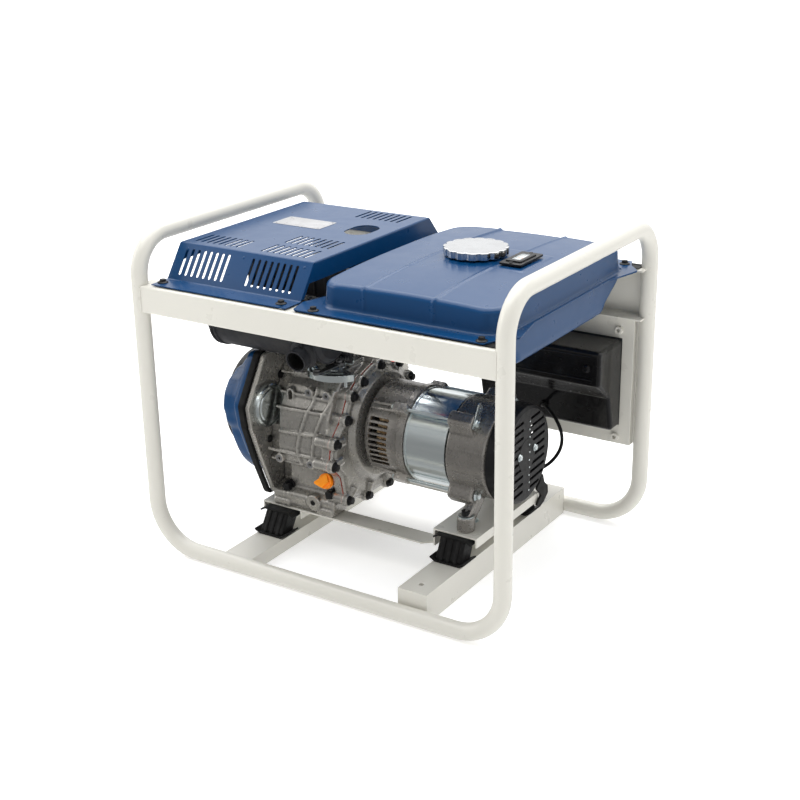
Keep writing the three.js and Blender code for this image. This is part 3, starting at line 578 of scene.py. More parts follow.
def windings():
    color = (0.55, 0.36, 0.18)
    m = Nodes("varnished windings", color, 0.35, 0.2, Coat_Weight=0.5)
    wave = m.node("ShaderNodeTexWave", bands_direction="X")
    m.put(wave, "Scale", 240.0)
    m.put(wave, "Distortion", 1.5)
    m.link(m.place, wave.inputs["Vector"])
    m.tint(m.ranged(wave.outputs["Fac"], 0.1, 0.6, 1.0, 0.0), (0.25, 0.13, 0.05))
    m.tint(m.ranged(m.noise(60.0), 0.5, 0.7), (0.72, 0.56, 0.34))
    m.bump(wave.outputs["Fac"], 0.0005, 0.8)
    return m.material


def filter_paper():
    color = (0.70, 0.62, 0.42)
    m = Nodes("filter paper", color, 0.85)
    m.tint(m.ranged(m.noise(300.0), 0.4, 0.7), shade(color, 0.8))
    m.bump(m.noise(500.0), 0.0004, 0.8)
    return m.material


def clear_lens():
    m = Nodes("clear lens", (0.85, 0.9, 0.92), 0.06, IOR=1.49, Alpha=0.28)
    m.rough(m.noise(60.0), 0.04, 0.1)
    m.bump(m.noise(200.0), 0.00002, 0.3)
    return m.material


MATERIALS = {
    "white_paint": powder_coat("white powder coat", (0.66, 0.645, 0.585), 0.27, 0.33),
    "blue_paint": powder_coat("blue powder coat", (0.0014, 0.044, 0.138), 0.27, 0.33, 0.00003, 0.22, 0.22),
    # the third colour of each casting is the painted shade in its inner corners
    "cast_alloy": cast_alloy("cast alloy", (0.40, 0.385, 0.355), (0.035, 0.031, 0.027)),
    "bell_alloy": cast_alloy("bell alloy", (0.27, 0.255, 0.235), (0.045, 0.042, 0.038)),
    "zinc": zinc_plate("zinc plate", 0.2, 0.36, 0.6),
    "zinc_sheet": zinc_plate("zinc sheet", 0.16, 0.27, 0.25),
    "chrome": chrome(),
    "steel": machined("machined steel", (0.45, 0.45, 0.46), 0.25, 0.4),
    "iron": machined("machined iron", (0.22, 0.22, 0.22), 0.4, 0.55),
    "black_plastic": moulded("black plastic", (0.0045, 0.0045, 0.005), 0.36, 0.5),
    "gloss_plastic": moulded("gloss plastic", (0.004, 0.004, 0.0045), 0.18, 0.28, 1400.0, 0.00003, 0.2),
    "black_rubber": rubber("black rubber", (0.003, 0.003, 0.003), (0.009, 0.0088, 0.0085)),
    "rope": rubber("braided rope", (0.03, 0.03, 0.032), (0.05, 0.048, 0.045)),
    "soot": rubber("soot", (0.004, 0.004, 0.004), (0.008, 0.007, 0.006)),
    "heat_paint": heat_paint(),
    "copper": windings(),
    "orange_plastic": moulded("orange plastic", (1.0, 0.20, 0.004), 0.28, 0.4, 900.0, 0.00004, 0.2),
    "red_plastic": moulded("red plastic", (0.45, 0.012, 0.01), 0.3, 0.42, 900.0, 0.00004, 0.2),
    "gasket": moulded("gasket", (0.20, 0.022, 0.012), 0.5, 0.62),
    "filter_paper": filter_paper(),
    "panel_grey": powder_coat("dark textured paint", (0.030, 0.033, 0.038), 0.42, 0.55, 0.0002),
    "glass": clear_lens(),
}


# ---------------------------------------------------------------- pieces

def piece(name, form, look, body="chassis", stands_for=(), angle=38, weighted=True):
    """Makes a form in millimetres into a finished piece that rides on a body."""
    mesh = bpy.data.meshes.new(name)
    mesh.from_pydata([tuple(Vector(v) * MM) for v in form[0]], [], form[1])
    mesh.validate()
    mesh.polygons.foreach_set("use_smooth", [True] * len(mesh.polygons))
    mesh.set_sharp_from_angle(angle=math.radians(angle))
    mesh.materials.append(MATERIALS[look])
    obj = bpy.data.objects.new(name, mesh)
    bpy.context.scene.collection.objects.link(obj)
    if weighted:
        normals = obj.modifiers.new("normals", "WEIGHTED_NORMAL")
        normals.keep_sharp = True
        normals.weight = 70
    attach(obj, body)
    if stands_for:
        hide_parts(*stands_for)
    return obj


def dress(node, look, bevel=0.5):
    """Gives a CAD node that stays its material and softens its sharp edges."""
    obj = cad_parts[node]
    obj.data.materials.clear()
    obj.data.materials.append(MATERIALS[look])
    weld = obj.modifiers.new("weld", "WELD")
    weld.merge_threshold = 0.00001
    if bevel:
        add_bevel(obj, bevel * MM, 40, 3)


# ---------------------------------------------------------------- camera, floor and light

CAMERA = {
    "place": (1137.5467, -1755.4243, 1028.7787),
    "azimuth": 32.9234,
    "elevation": 20.6251,
    "roll": -0.9166,
    "lens": 63.516,
}


def make_camera():
    az, el, roll = (math.radians(CAMERA[k]) for k in ("azimuth", "elevation", "roll"))
    back = Vector((math.sin(az) * math.cos(el), -math.cos(az) * math.cos(el), math.sin(el)))
    right = Vector((math.cos(az), math.sin(az), 0))
    up = back.cross(right)
    across = right * math.cos(roll) + up * math.sin(roll)
    upright = up * math.cos(roll) - right * math.sin(roll)
    data = bpy.data.cameras.new("camera")
    data.lens = CAMERA["lens"]
    data.sensor_width = 36
    data.clip_end = 200
    camera = bpy.data.objects.new("camera", data)
    bpy.context.scene.collection.objects.link(camera)
    turn = Matrix((across, upright, back)).transposed().to_4x4()
    camera.matrix_world = Matrix.Translation(Vector(CAMERA["place"]) * MM) @ turn
    bpy.context.scene.camera = camera


def make_floor():
    mesh = bpy.data.meshes.new("floor")
    reach = 60
    mesh.from_pydata([(-reach, -reach, 0), (reach, -reach, 0), (reach, reach, 0), (-reach, reach, 0)], [],
                     [(0, 1, 2, 3)])
    floor = bpy.data.objects.new("floor", mesh)
    bpy.context.scene.collection.objects.link(floor)
    paper = Nodes("pale floor", (0.90, 0.90, 0.90), 0.9, Emission_Color=(1, 1, 1, 1), Emission_Strength=0.4)
    floor.visible_glossy = False
    paper.put(paper.shader, "Specular IOR Level", 0.0)
    mesh.materials.append(paper.material)


def softbox(name, place_m, aim, size, watts):
    data = bpy.data.lights.new(name, "AREA")
    data.shape = "RECTANGLE"
    data.size, data.size_y = size
    data.energy = watts
    lamp = bpy.data.objects.new(name, data)
    lamp.location = place_m
    lamp.rotation_euler = (Vector(place_m) - Vector(aim)).to_track_quat("Z", "Y").to_euler()
    bpy.context.scene.collection.objects.link(lamp)


def make_light():
    world = bpy.data.worlds.new("studio")
    world.use_nodes = True
    bpy.context.scene.world = world
    tree = world.node_tree
    sky = tree.nodes["Background"]
    where = tree.nodes.new("ShaderNodeTexCoord")
    split = tree.nodes.new("ShaderNodeSeparateXYZ")
    ramp = tree.nodes.new("ShaderNodeValToRGB")
    tree.links.new(where.outputs["Generated"], split.inputs["Vector"])
    tree.links.new(split.outputs["Z"], ramp.inputs["Fac"])
    tree.links.new(ramp.outputs["Color"], sky.inputs["Color"])
    ramp.color_ramp.elements[0].position = 0.0
    ramp.color_ramp.elements[0].color = (0.62, 0.62, 0.62, 1)
    ramp.color_ramp.elements[1].position = 0.35
    ramp.color_ramp.elements[1].color = (1, 1, 1, 1)
    side = tree.nodes.new("ShaderNodeMapRange")
    for socket, value in (("From Min", -0.7), ("From Max", 0.7), ("To Min", 0.42), ("To Max", 1.35)):
        side.inputs[socket].default_value = value
    tree.links.new(split.outputs["Y"], side.inputs["Value"])
    tree.links.new(side.outputs["Result"], sky.inputs["Strength"])
    softbox("overhead", (-0.6, 0.5, 3.2), (0, 0, 0.2), (4.5, 4.5), 155)
    softbox("left side", (-3.0, -1.4, 1.7), (0, 0, 0.3), (2.2, 2.2), 25)
    softbox("front fill", (1.2, -3.6, 1.1), (0, 0, 0.25), (2.4, 1.6), 5)
    bpy.context.scene.view_settings.view_transform = "Standard"


make_camera()
make_floor()
make_light()


# ---------------------------------------------------------------- tube frame and rails

def frame_loop():
    """Centreline of the frame's tube: two ground rails, four posts and two handles."""
    x, y, top = POST_X, POST_Y, HANDLE_Z
    foot, low, high = x - FOOT_BEND, TUBE_R + FOOT_BEND, top - HANDLE_BEND
    right = [
        *bend((foot, -y, low), FOOT_BEND, (0, 0, -1), (1, 0, 0), 20),
        *bend((x, -y + HANDLE_BEND, high), HANDLE_BEND, (0, -1, 0), (0, 0, 1), 20),
        *bend((x, y - HANDLE_BEND, high), HANDLE_BEND, (0, 0, 1), (0, 1, 0), 20),
        *bend((foot, y, low), FOOT_BEND, (1, 0, 0), (0, 0, -1), 20),
    ]
    left = [Vector((-p.x, p.y, p.z)) for p in reversed(right)]
    return right + left


piece("tube_frame", tube(frame_loop(), TUBE_R, 48, loop=True), "white_paint",
      stands_for=("left_hoop", "right_hoop"))


def weld_bead(points, radius=1.9):
    """Bead of weld: a thin rod whose radius ripples along its length."""
    path = smooth_path(points, 10)
    radii = [radius * (0.85 + 0.25 * math.sin(i * 1.7) ** 2) for i in range(len(path))]
    return tube(path, radius, 10, radii=radii)


def upper_rail(name, side):
    low, high = span(name)
    sheet = 2.5
    outer = (high.y if side > 0 else -low.y) - sheet / 2
    inner = -high.y if side < 0 else low.y
    path = [(inner, low.z + sheet / 2), (outer, low.z + sheet / 2), (outer, high.z - sheet / 2),
            (inner, high.z - sheet / 2)]
    section = [(side * y, z) for y, z in sheet_outline(path, sheet, 3.2)]
    rail = prism("x", section, -POST_X, POST_X, 0)
    posts = [bar("z", TUBE_R + 0.2, 300, 470, (x, side * POST_Y), 48, 0) for x in (-POST_X, POST_X)]
    beads = []
    reach = POST_X - 8.2
    for x in (-reach, reach):
        y = side * (outer + 0.9)
        beads.append(weld_bead([(x, y, low.z + 2), (x, y, (low.z + high.z) / 2), (x, y, high.z - 2)]))
    piece(name + "_welded", merge(carved(rail, *posts, bevel=0.25), *beads), "white_paint",
          stands_for=(name,))


upper_rail("front_upper_rail", -1)
upper_rail("rear_upper_rail", 1)

for node in ("left_cross_member", "right_cross_member"):
    dress(node, "white_paint", 1.2)
for node in ("left_engine_bracket", "right_engine_bracket", "front_tray_strip", "rear_tray_strip",
             "panel_frame"):
    dress(node, "white_paint", 0.7)


# ---------------------------------------------------------------- bolts and small parts

def polygon(radius, sides, turn=0.0):
    angles = [2 * math.pi * i / sides + turn for i in range(sides)]
    return [(radius * math.cos(a), radius * math.sin(a)) for a in angles]


def hex_bolt(across, height, flange=0.0, socket=False, washer=0.0):
    """Bolt head that stands on z = 0 and points up: washer, flange, then a chamfered hexagon."""
    radius = across / math.sqrt(3)
    parts = []
    base = 0.0
    if washer:
        parts.append(bar("z", washer, 0, 1.4, (0, 0), 36, 0.4))
        base = 1.3
    if flange:
        parts.append(lathe("z", [(0, base), (flange, base), (flange, base + 1), (across * 0.56, base + 2.6),
                                 (0, base + 2.6)], (0, 0), 36, 0.3))
    rings = []
    for z, grow in ((base, 1.0), (base + height * 0.86, 1.0), (base + height, 0.86)):
        rings.append([(x * grow, y * grow, z) for x, y in polygon(radius, 6)])
    head = rings_form(rings)
    if socket:
        head = bar("z", radius, base, base + height, (0, 0), 32, 0.5)
        hole = prism("z", polygon(radius * 0.52, 6), base + height * 0.4, base + height + 1, 0)
        head = carved(head, hole)
    parts.append(head)
    return merge(*parts)


def aimed(form, at, direction, spin=0.0):
    """Stands a form made along +Z at a point, pointing in any direction."""
    turn = Vector(direction).to_track_quat("Z", "Y").to_matrix().to_4x4()
    return moved(form, Matrix.Translation(at) @ turn @ Matrix.Rotation(math.radians(spin), 4, "Z"))


def stand(form, at, axis, sign=1, spin=0.0):
    """Stands a form made along +Z at a point, pointing along an axis either way."""
    return aimed(form, at, [sign if a == axis else 0 for a in "xyz"], spin)


# ---------------------------------------------------------------- fuel tank

TANK_TOP = span("tank_upper_shell")[1].z
TANK = {"left": -3, "right": 290, "front": -206, "rear": 195, "seam": 449}
FILLER = Vector((137, 2))
BEADS = (77, 189)
TANK_MID = (TANK["left"] + TANK["right"]) / 2
TANK_A = (TANK["right"] - TANK["left"]) / 2
TANK_Y = (TANK["front"] + TANK["rear"]) / 2
TANK_B = (TANK["rear"] - TANK["front"]) / 2


def smoothstep(value, low, high):
    t = max(0.0, min(1.0, (value - low) / (high - low)))
    return t * t * (3 - 2 * t)


def tank_top(x, y):
    """Height of the pressed top: crowned both ways, with two beads, a step and a filler boss."""
    u, v = (x - TANK_MID) / TANK_A, abs(y - TANK_Y) / TANK_B
    z = 482.2 + 5.0 * (1 - u * u) + 7.4 * (1 - v ** 2.6)
    z += 1.5 * sum(math.exp(-((x - b) / 2.6) ** 2) for b in BEADS)
    behind = smoothstep(y, 60, 66) * smoothstep(x, BEADS[0], BEADS[0] + 5)
    behind *= smoothstep(-x, -BEADS[1], 5 - BEADS[1])
    z -= 1.7 * behind
    boss = (Vector((x, y)) - FILLER).length
    z += (TANK_TOP + 0.2 - z) * (1 - smoothstep(boss, 46, 52))
    pad = smoothstep(x, 180, 186) * smoothstep(-x, -240, -234)
    pad *= smoothstep(y, -46, -40)
    pad *= smoothstep(-y, -58, -52)
    return z + (494.0 - z) * pad * 0.8


def rounded_point(p, q, a, b, radius):
    """Point of a rounded rectangle that the unit square's edge point (p, q) maps to."""
    x, y = p * a, q * b
    cx = max(-(a - radius), min(a - radius, x))
    cy = max(-(b - radius), min(b - radius, y))
    d = Vector((x - cx, y - cy))
    if d.length < 1e-9:
        return Vector((x, y))
    d.normalize()
    return Vector((cx, cy)) + d * radius


def pillow(count, rings, top):
    """Closed-over grid: outer rings are (inset, height above the seam, or None), inner ones follow `top`."""
    verts, faces = [], []
    levels = count // 2
    for j in range(count + 1):
        for i in range(count + 1):
            u, v = 2 * i / count - 1, 2 * j / count - 1
            level = round(max(abs(u), abs(v)) * levels)
            if level == 0:
                verts.append(Vector((TANK_MID, TANK_Y, top(TANK_MID, TANK_Y))))
                continue
            scale = level / levels
            p, q = u / scale, v / scale
            depth = levels - level
            if depth < len(rings):
                gap, height = rings[depth]
                radius = 32 - gap * 0.5
                at = rounded_point(p, q, TANK_A - gap, TANK_B - gap, radius)
            else:
                last = rings[-1][0]
                share = (level / (levels - len(rings) + 1)) ** 0.92
                radius = (32 - last * 0.5) * share
                at = rounded_point(p, q, (TANK_A - last) * share, (TANK_B - last) * share, radius)
                height = None
            x, y = at.x + TANK_MID, at.y + TANK_Y
            if height is None:
                z = top(x, y)
            else:
                shoulder, drop = height
                edge = top(x * 0.97 + TANK_MID * 0.03, y * 0.97 + TANK_Y * 0.03)
                z = edge - drop if shoulder else TANK["seam"] + drop
                if abs(at.y) > TANK_B - 40 and gap < 9:
                    push = 1.3 * sum(math.exp(-((x - b) / 2.6) ** 2) for b in BEADS)
                    y += math.copysign(push * smoothstep(z, TANK["seam"] + 3, TANK["seam"] + 12), y)
            verts.append(Vector((x, y, z)))
    for j in range(count):
        for i in range(count):
            a = j * (count + 1) + i
            faces.append((a, a + 1, a + count + 2, a + count + 1))
    return verts, faces


def tank_flange(low, high, grow):
    """Welding flange: a plate with an ear at each corner."""
    rear_half = [(-12, 130), (-33, 200), (-24, 236), (284, 236), (293, 213), (314, 189), (299, 120)]
    outline = rear_half + [(x, -y) for x, y in rear_half[::-1]]
    return prism("z", inset(soften(outline, 4, 4)[::-1], -grow), low, high, 0.5)


def upper_tank():
    shoulder = 6.5
    rings = [(-5.5, (False, 1.4)), (-3.0, (False, 2.2)), (-1.2, (False, 4.0)), (-0.2, (False, 7)),
             (0.2, (False, 13)), (0.6, (False, 19)), (1.0, (False, 24))]
    for k in range(7):
        a = math.pi / 2 * k / 6
        rings.append((1.2 + shoulder * (1 - math.cos(a)), (True, shoulder * (1 - math.sin(a)))))
    skin = pillow(190, rings, tank_top)
    shell = temporary(outward(skin))
    wall = shell.modifiers.new("wall", "SOLIDIFY")
    wall.thickness = 1.5
    wall.offset = -1
    shell = evaluated(shell)
    neck = bar("z", 32, 470, 510, FILLER, 64, 0)
    hollow = prism("z", rounded_rect(-1.5, 288.5, TANK["front"] + 1.5, TANK["rear"] - 1.5, 28), 440, 470, 0)
    flange = carved(tank_flange(TANK["seam"] + 0.1, TANK["seam"] + 1.6, 0), hollow)
    return merge(carved(shell, neck), flange)


def lower_tank():
    """Pressed lower half: drafted walls down to a smaller flat floor."""
    seam = TANK["seam"] - 0.3
    floor = span("tank_lower_shell")[0].z
    steps = [(seam, 0, 0), (437, 0.2, 0.02), (430, 1.0, 0.16), (floor + 16, 0, 0.84), (floor + 8, 0, 0.95),
             (floor + 3, 1.5, 1.0), (floor + 0.6, 5, 1.0), (floor, 10, 1.0)]
    rings = []
    for z, gap, share in steps:
        x0 = TANK["left"] + 10 * share + gap
        x1 = TANK["right"] - 3 * share - gap
        y0 = TANK["front"] + 3 + 41 * share + gap
        y1 = TANK["rear"] - 48 * share - gap
        rings.append([(x, y, z) for x, y in rounded_rect(x0, x1, y0, y1, 30 - gap, 10)])
    return merge(rings_form(rings), tank_flange(seam - 1.3, seam, -1.2))


piece("tank_upper_pressing", upper_tank(), "blue_paint", stands_for=("tank_upper_shell",), angle=50)
piece("tank_lower_pressing", lower_tank(), "blue_paint", stands_for=("tank_lower_shell",), angle=50)

RAIL_TOP = span("front_upper_rail")[1].z
strips = []
for side in (-1, 1):
    y = side * 222
    strips.append(block((-20, 306), (y - 13, y + 13), (RAIL_TOP + 0.1, TANK["seam"] - 1.7), 0.5))
    for i in range(2):
        edge = y + side * (12.6 - 4 * i)
        strips.append(tube([(-20, edge, RAIL_TOP + 1.0), (306, edge, RAIL_TOP + 1.0)], 0.9, 8))
piece("tank_rubber_strips", merge(*strips), "black_rubber")

tank_bolts = []
for x, y in ((6, -228), (277, -228), (6, 214), (281, 214)):
    tank_bolts.append(shifted(hex_bolt(9, 6, 8.2), x, y, TANK["seam"] + 1.6))
piece("tank_bolts", merge(*tank_bolts), "black_plastic")


def fluted_cap():
    """Turned cap with finger flutes, a flat top and a thin bright rim."""
    low, high = span("fuel_cap")
    skirt = TANK_TOP + 2.3
    radius = (high.x - low.x) / 2
    flutes = 16
    count = flutes * 12
    levels = [(skirt, 2.4), (skirt + 0.6, 0.8), (skirt + 1.4, 0.1), (high.z - 1.4, 0), (high.z - 0.4, 0.4),
              (high.z, 1.4)]
    rings = []
    for z, gap in levels:
        ring = []
        for i in range(count):
            a = 2 * math.pi * i / count
            dip = (0.5 - 0.5 * math.cos(a * flutes)) ** 3
            r = radius - gap - 3.2 * dip
            ring.append((FILLER.x + r * math.cos(a), FILLER.y + r * math.sin(a), z))
        rings.append(ring)
    for r, z in ((radius - 5.5, high.z - 0.05), (radius - 6, high.z - 0.25), (8, high.z - 0.3)):
        rings.append([(FILLER.x + x, FILLER.y + y, z) for x, y in polygon(r, count)])
    plug = bar("z", 24, skirt - 12, skirt + 1, FILLER, 64, 1.0)
    return merge(rings_form(rings), plug)


piece("fuel_cap_chromed", fluted_cap(), "chrome", "cap_body", ("fuel_cap",), angle=45)
piece("filler_seal", hoop("z", 33, 40, TANK_TOP + 0.2, TANK_TOP + 2, FILLER, 64, 0.5), "black_rubber")


def fuel_gauge():
    low, high = span("fuel_gauge")
    middle = (low + high) / 2

    def pane(half, gap, bottom, top, soft):
        outline = rounded_rect(middle.x - half, middle.x + half, low.y + gap, high.y - gap - 2, 2)
        return prism("z", outline, high.z + bottom, high.z + top, soft)

    base = prism("z", rounded_rect(low.x, high.x, low.y, high.y, 3), low.z, low.z + 3.4, 1.0)
    raised = prism("z", rounded_rect(low.x + 5, high.x - 5, low.y + 10, high.y - 12, 3), low.z + 3, high.z,
                   1.2)
    window = pane(7, 18, -2.6, 1, 0)
    screws = [shifted(hex_bolt(5, 1.6), middle.x, y, low.z + 3.2) for y in (low.y + 4.5, high.y - 5.5)]
    housing = merge(carved(base, window), carved(raised, window, bevel=0.3), *screws)
    piece("fuel_gauge_housing", housing, "black_plastic", stands_for=("fuel_gauge",))
    lens = pane(6.8, 18.2, -0.9, -0.1, 0.2)
    piece("fuel_gauge_lens", lens, "glass")
    scale = pane(6.5, 18.5, -2.6, -2.2, 0.1)
    needle = block((middle.x - 5, middle.x + 5), (middle.y - 2, middle.y - 0.5),
                   (high.z - 2.1, high.z - 1.5), 0.2)
    piece("fuel_gauge_scale", scale, "white_paint")
    piece("fuel_gauge_needle", needle, "orange_plastic")


fuel_gauge()


# ---------------------------------------------------------------- louvred cover

COVER_LOW, COVER_HIGH = span("louvred_cover")
COVER = {"sheet": 1.5, "bend_y": 199, "front": -163, "rear": 154, "flap": 471}


def stadium(width, length):
    """Outline of a slot with round ends, along its second coordinate."""
    r, half = width / 2, length / 2 - width / 2
    return arc(0, half, r, 0, 180, 8) + arc(0, -half, r, 180, 360, 8)


def slot_row(x0, pitch, width, length, matrix):
    outline = stadium(width, length)
    return [moved(prism("z", [(x0 + i * pitch + a, b) for a, b in outline], -6, 6, 0), matrix)
            for i in range(8)]


def louvred_cover():
    low, high, t = COVER_LOW, COVER_HIGH, COVER["sheet"]
    left, right, top, seat = low.x, high.x, high.z, low.z
    mid = t / 2
    path = [(low.y, seat + mid), (-COVER["bend_y"], seat + mid), (COVER["front"], top - mid),
            (COVER["rear"], top - mid), (COVER["bend_y"], seat + mid), (high.y, seat + mid)]
    sheet = prism("x", sheet_outline(path, t, 4.5, 5), left, right, 0.5)
    fold = 3.6
    corner_cuts, folds, flaps = [], [], []
    for end, inwards in ((left, 1), (right, -1)):
        quarter = [(end + inwards * (fold - fold * math.sin(a)), top - fold + fold * math.cos(a))
                   for a in [math.pi / 2 * k / 6 for k in range(7)]]
        wedge = [(end - inwards, top + 1), (end + inwards * fold, top + 1), *quarter,
                 (end - inwards, top - fold)]
        corner_cuts.append(prism("y", wedge, COVER["front"] - 60, COVER["rear"] + 60, 0))
        section = sheet_outline([(end + inwards * mid, COVER["flap"]), (end + inwards * mid, top - mid),
                                 (end + inwards * 9, top - mid)], t - 0.04, fold - mid, 6)
        folds.append(prism("y", section, COVER["front"] + 1, COVER["rear"] - 1, 0.4))
        span_x = sorted((end + inwards * 0.05, end + inwards * t))
        for edge, out in ((COVER["front"], -1), (COVER["rear"], 1)):
            bend_y, flap_z = out * COVER["bend_y"], COVER["flap"]
            lip = [(edge - out * 2, top - 1), (edge, top - 1), (bend_y - out * 2, seat + 3),
                   (bend_y - out * 9, seat + 3), (edge + out * 14, flap_z), (edge - out * 2, flap_z)]
            flaps.append(prism("x", lip, *span_x, 0.4))
    slope = math.degrees(math.atan2(top - seat, COVER["bend_y"] + COVER["front"]))
    middle = Vector((0, (COVER["front"] - COVER["bend_y"]) / 2 - 0.5, (top + seat) / 2 + 1))
    lean = Matrix.Translation(middle) @ Matrix.Rotation(math.radians(slope), 4, "X")
    slots = []
    for x0 in (-269.5, -142.5):
        slots += slot_row(x0, 11.5, 5, 44, lean)
    for x0, y, length in ((-269, -129, 44), (-143, -129, 44), (-143, -69, 46), (-143, 121.5, 47)):
        slots += slot_row(x0, 11.2, 4.6, length, Matrix.Translation((0, y, top)))
    oval = prism("z", [(-85 + a, 31 + b) for a, b in stadium(44, 66)], top - 8, top + 4, 0)
    hole = bar("z", 3, seat - 2, seat + 4, (-49, -229), 20, 0)
    skin = carved(sheet, *corner_cuts)
    skin = carved(skin, *slots, oval, hole, bevel=0.22, angle=40)
    dimples = []
    for x in (left + 19.5, (left + right) / 2 + 1, right - 13):
        dome = lathe("z", [(0, -0.5), (2.6, -0.5), (2.2, 0.25), (1.2, 0.6), (0, 0.7)], (0, 0), 20)
        spot = Matrix.Translation((x, COVER["front"] - 6.5, top - 8.5))
        dimples.append(moved(dome, spot @ lean.to_3x3().to_4x4()))
    return merge(skin, *folds, *flaps, *dimples)


piece("louvred_cover_sheet", louvred_cover(), "blue_paint", stands_for=("louvred_cover",), angle=40)
data_plate = prism("z", rounded_rect(-238, -146, 0, 50, 2.5), COVER_HIGH.z, COVER_HIGH.z + 0.5, 0.15)
plate_corners = [(x, y) for x in (-233, -151) for y in (5, 45)]
plate_holes = [bar("z", 1.6, COVER_HIGH.z - 1, COVER_HIGH.z + 1, at, 16, 0) for at in plate_corners]
piece("blank_data_plate", carved(data_plate, *plate_holes), "steel")
cover_bolts = []
for x in (COVER_LOW.x + 9.3, COVER_HIGH.x - 19.5):
    for y in (-220, 220):
        cover_bolts.append(shifted(hex_bolt(9, 5.5, 8.2), x, y, COVER_LOW.z + COVER["sheet"]))
piece("cover_bolts", merge(*cover_bolts), "black_plastic")


# ---------------------------------------------------------------- crankcase

SHROUD = {"right": -186, "band": -197, "left": -255, "sheet": 2.5, "mouth": 74.2}
CASE = {"left": -178, "right": -58, "plate": -186, "joint": -44, "gear": -36, "neck": -28}
CYLINDER_X = -115
CASE_SIDE = [
    (-107, 64.3), (-107, 88), (-93, 98), (-93, 136), (-118, 152), (-122, 178), (-114, 235), (-92, 272),
    (-58, 300), (58, 300), (92, 272), (108, 235), (112, 108), (107, 90), (107, 64.3), (72, 64.3), (66, 74),
    (-66, 74), (-72, 64.3),
]
CHAMBER = [
    (-82, 84), (-84, 142), (-108, 158), (-111, 178), (-104, 232), (-84, 264), (-54, 288),
    (54, 288), (84, 264), (98, 232), (102, 112), (94, 84),
]
PLATE_HALF = [(-103, 79), (-133, 150), (-153, 206), (-159, 244), (-111, 321)]
COWL_HALF = [(-86, 106), (-128, 152), (-150, 206), (-157, 244), (-112, 320)]
GEAR_RIM = [
    (20, 303), (-14, 304), (-58, 290), (-86, 272), (-104, 238), (-136, 208), (-142, 168), (-112, 134),
    (-103, 92), (-46, 77), (22, 77), (72, 84), (106, 108), (112, 200), (96, 250), (60, 290),
]
GEAR_BOLTS = [
    (0, 294), (-49, 281), (-77, 265), (-95, 231), (-126, 202), (-133, 167), (-96, 97), (-43, 86),
    (17, 86), (66, 92), (98, 114), (103, 160), (103, 205), (88, 248), (52, 282),
]


def scaled_rim(factor):
    return [(y * factor, AXIS_Z + (z - AXIS_Z) * factor) for y, z in GEAR_RIM]


STARTER = (-114, 238)
STARTER_R = 35
SMALL_BOSSES = [(-104, 266.6), (-70, 266.7), (-149, 155), (-88, 156.5)]
FILLER_TILT = math.radians(25)
DIPSTICK = {"at": Vector((-73, -99, 122)), "out": Vector((0, -math.cos(FILLER_TILT), math.sin(FILLER_TILT)))}
DRAIN = (-97, 83)


def plate_outline(grow, half=PLATE_HALF):
    side = [(y - grow, z + (grow if z > 200 else -grow) * 0.5) for y, z in half]
    return side + [(-y, z) for y, z in side[::-1]]


def case_face(z, rise=0.0):
    """Depth of the case's front (negative Y) face at a height."""
    rows = [(y, h) for y, h in CASE_SIDE[2:9]]
    for (y0, z0), (y1, z1) in zip(rows, rows[1:]):
        if z0 <= z <= z1:
            return y0 + (y1 - y0) * (z - z0) / (z1 - z0) - rise
    return rows[0][0] - rise if z < rows[0][1] else rows[-1][0] - rise


def face_rib(points, radius=2.7, rise=0.9):
    """Cast rib that lies on the front face and passes through (x, z) points."""
    path = smooth_path([(x, 0, z) for x, z in points], 6)
    return tube([(p.x, case_face(p.z, rise), p.z) for p in path], radius, 8)


def boss(axis, radius, low, high, at, hole=0.0):
    profile = [(hole, low), (radius * 1.12, low), (radius, high), (hole, high)]
    return lathe(axis, profile, at, 28, 0.8)


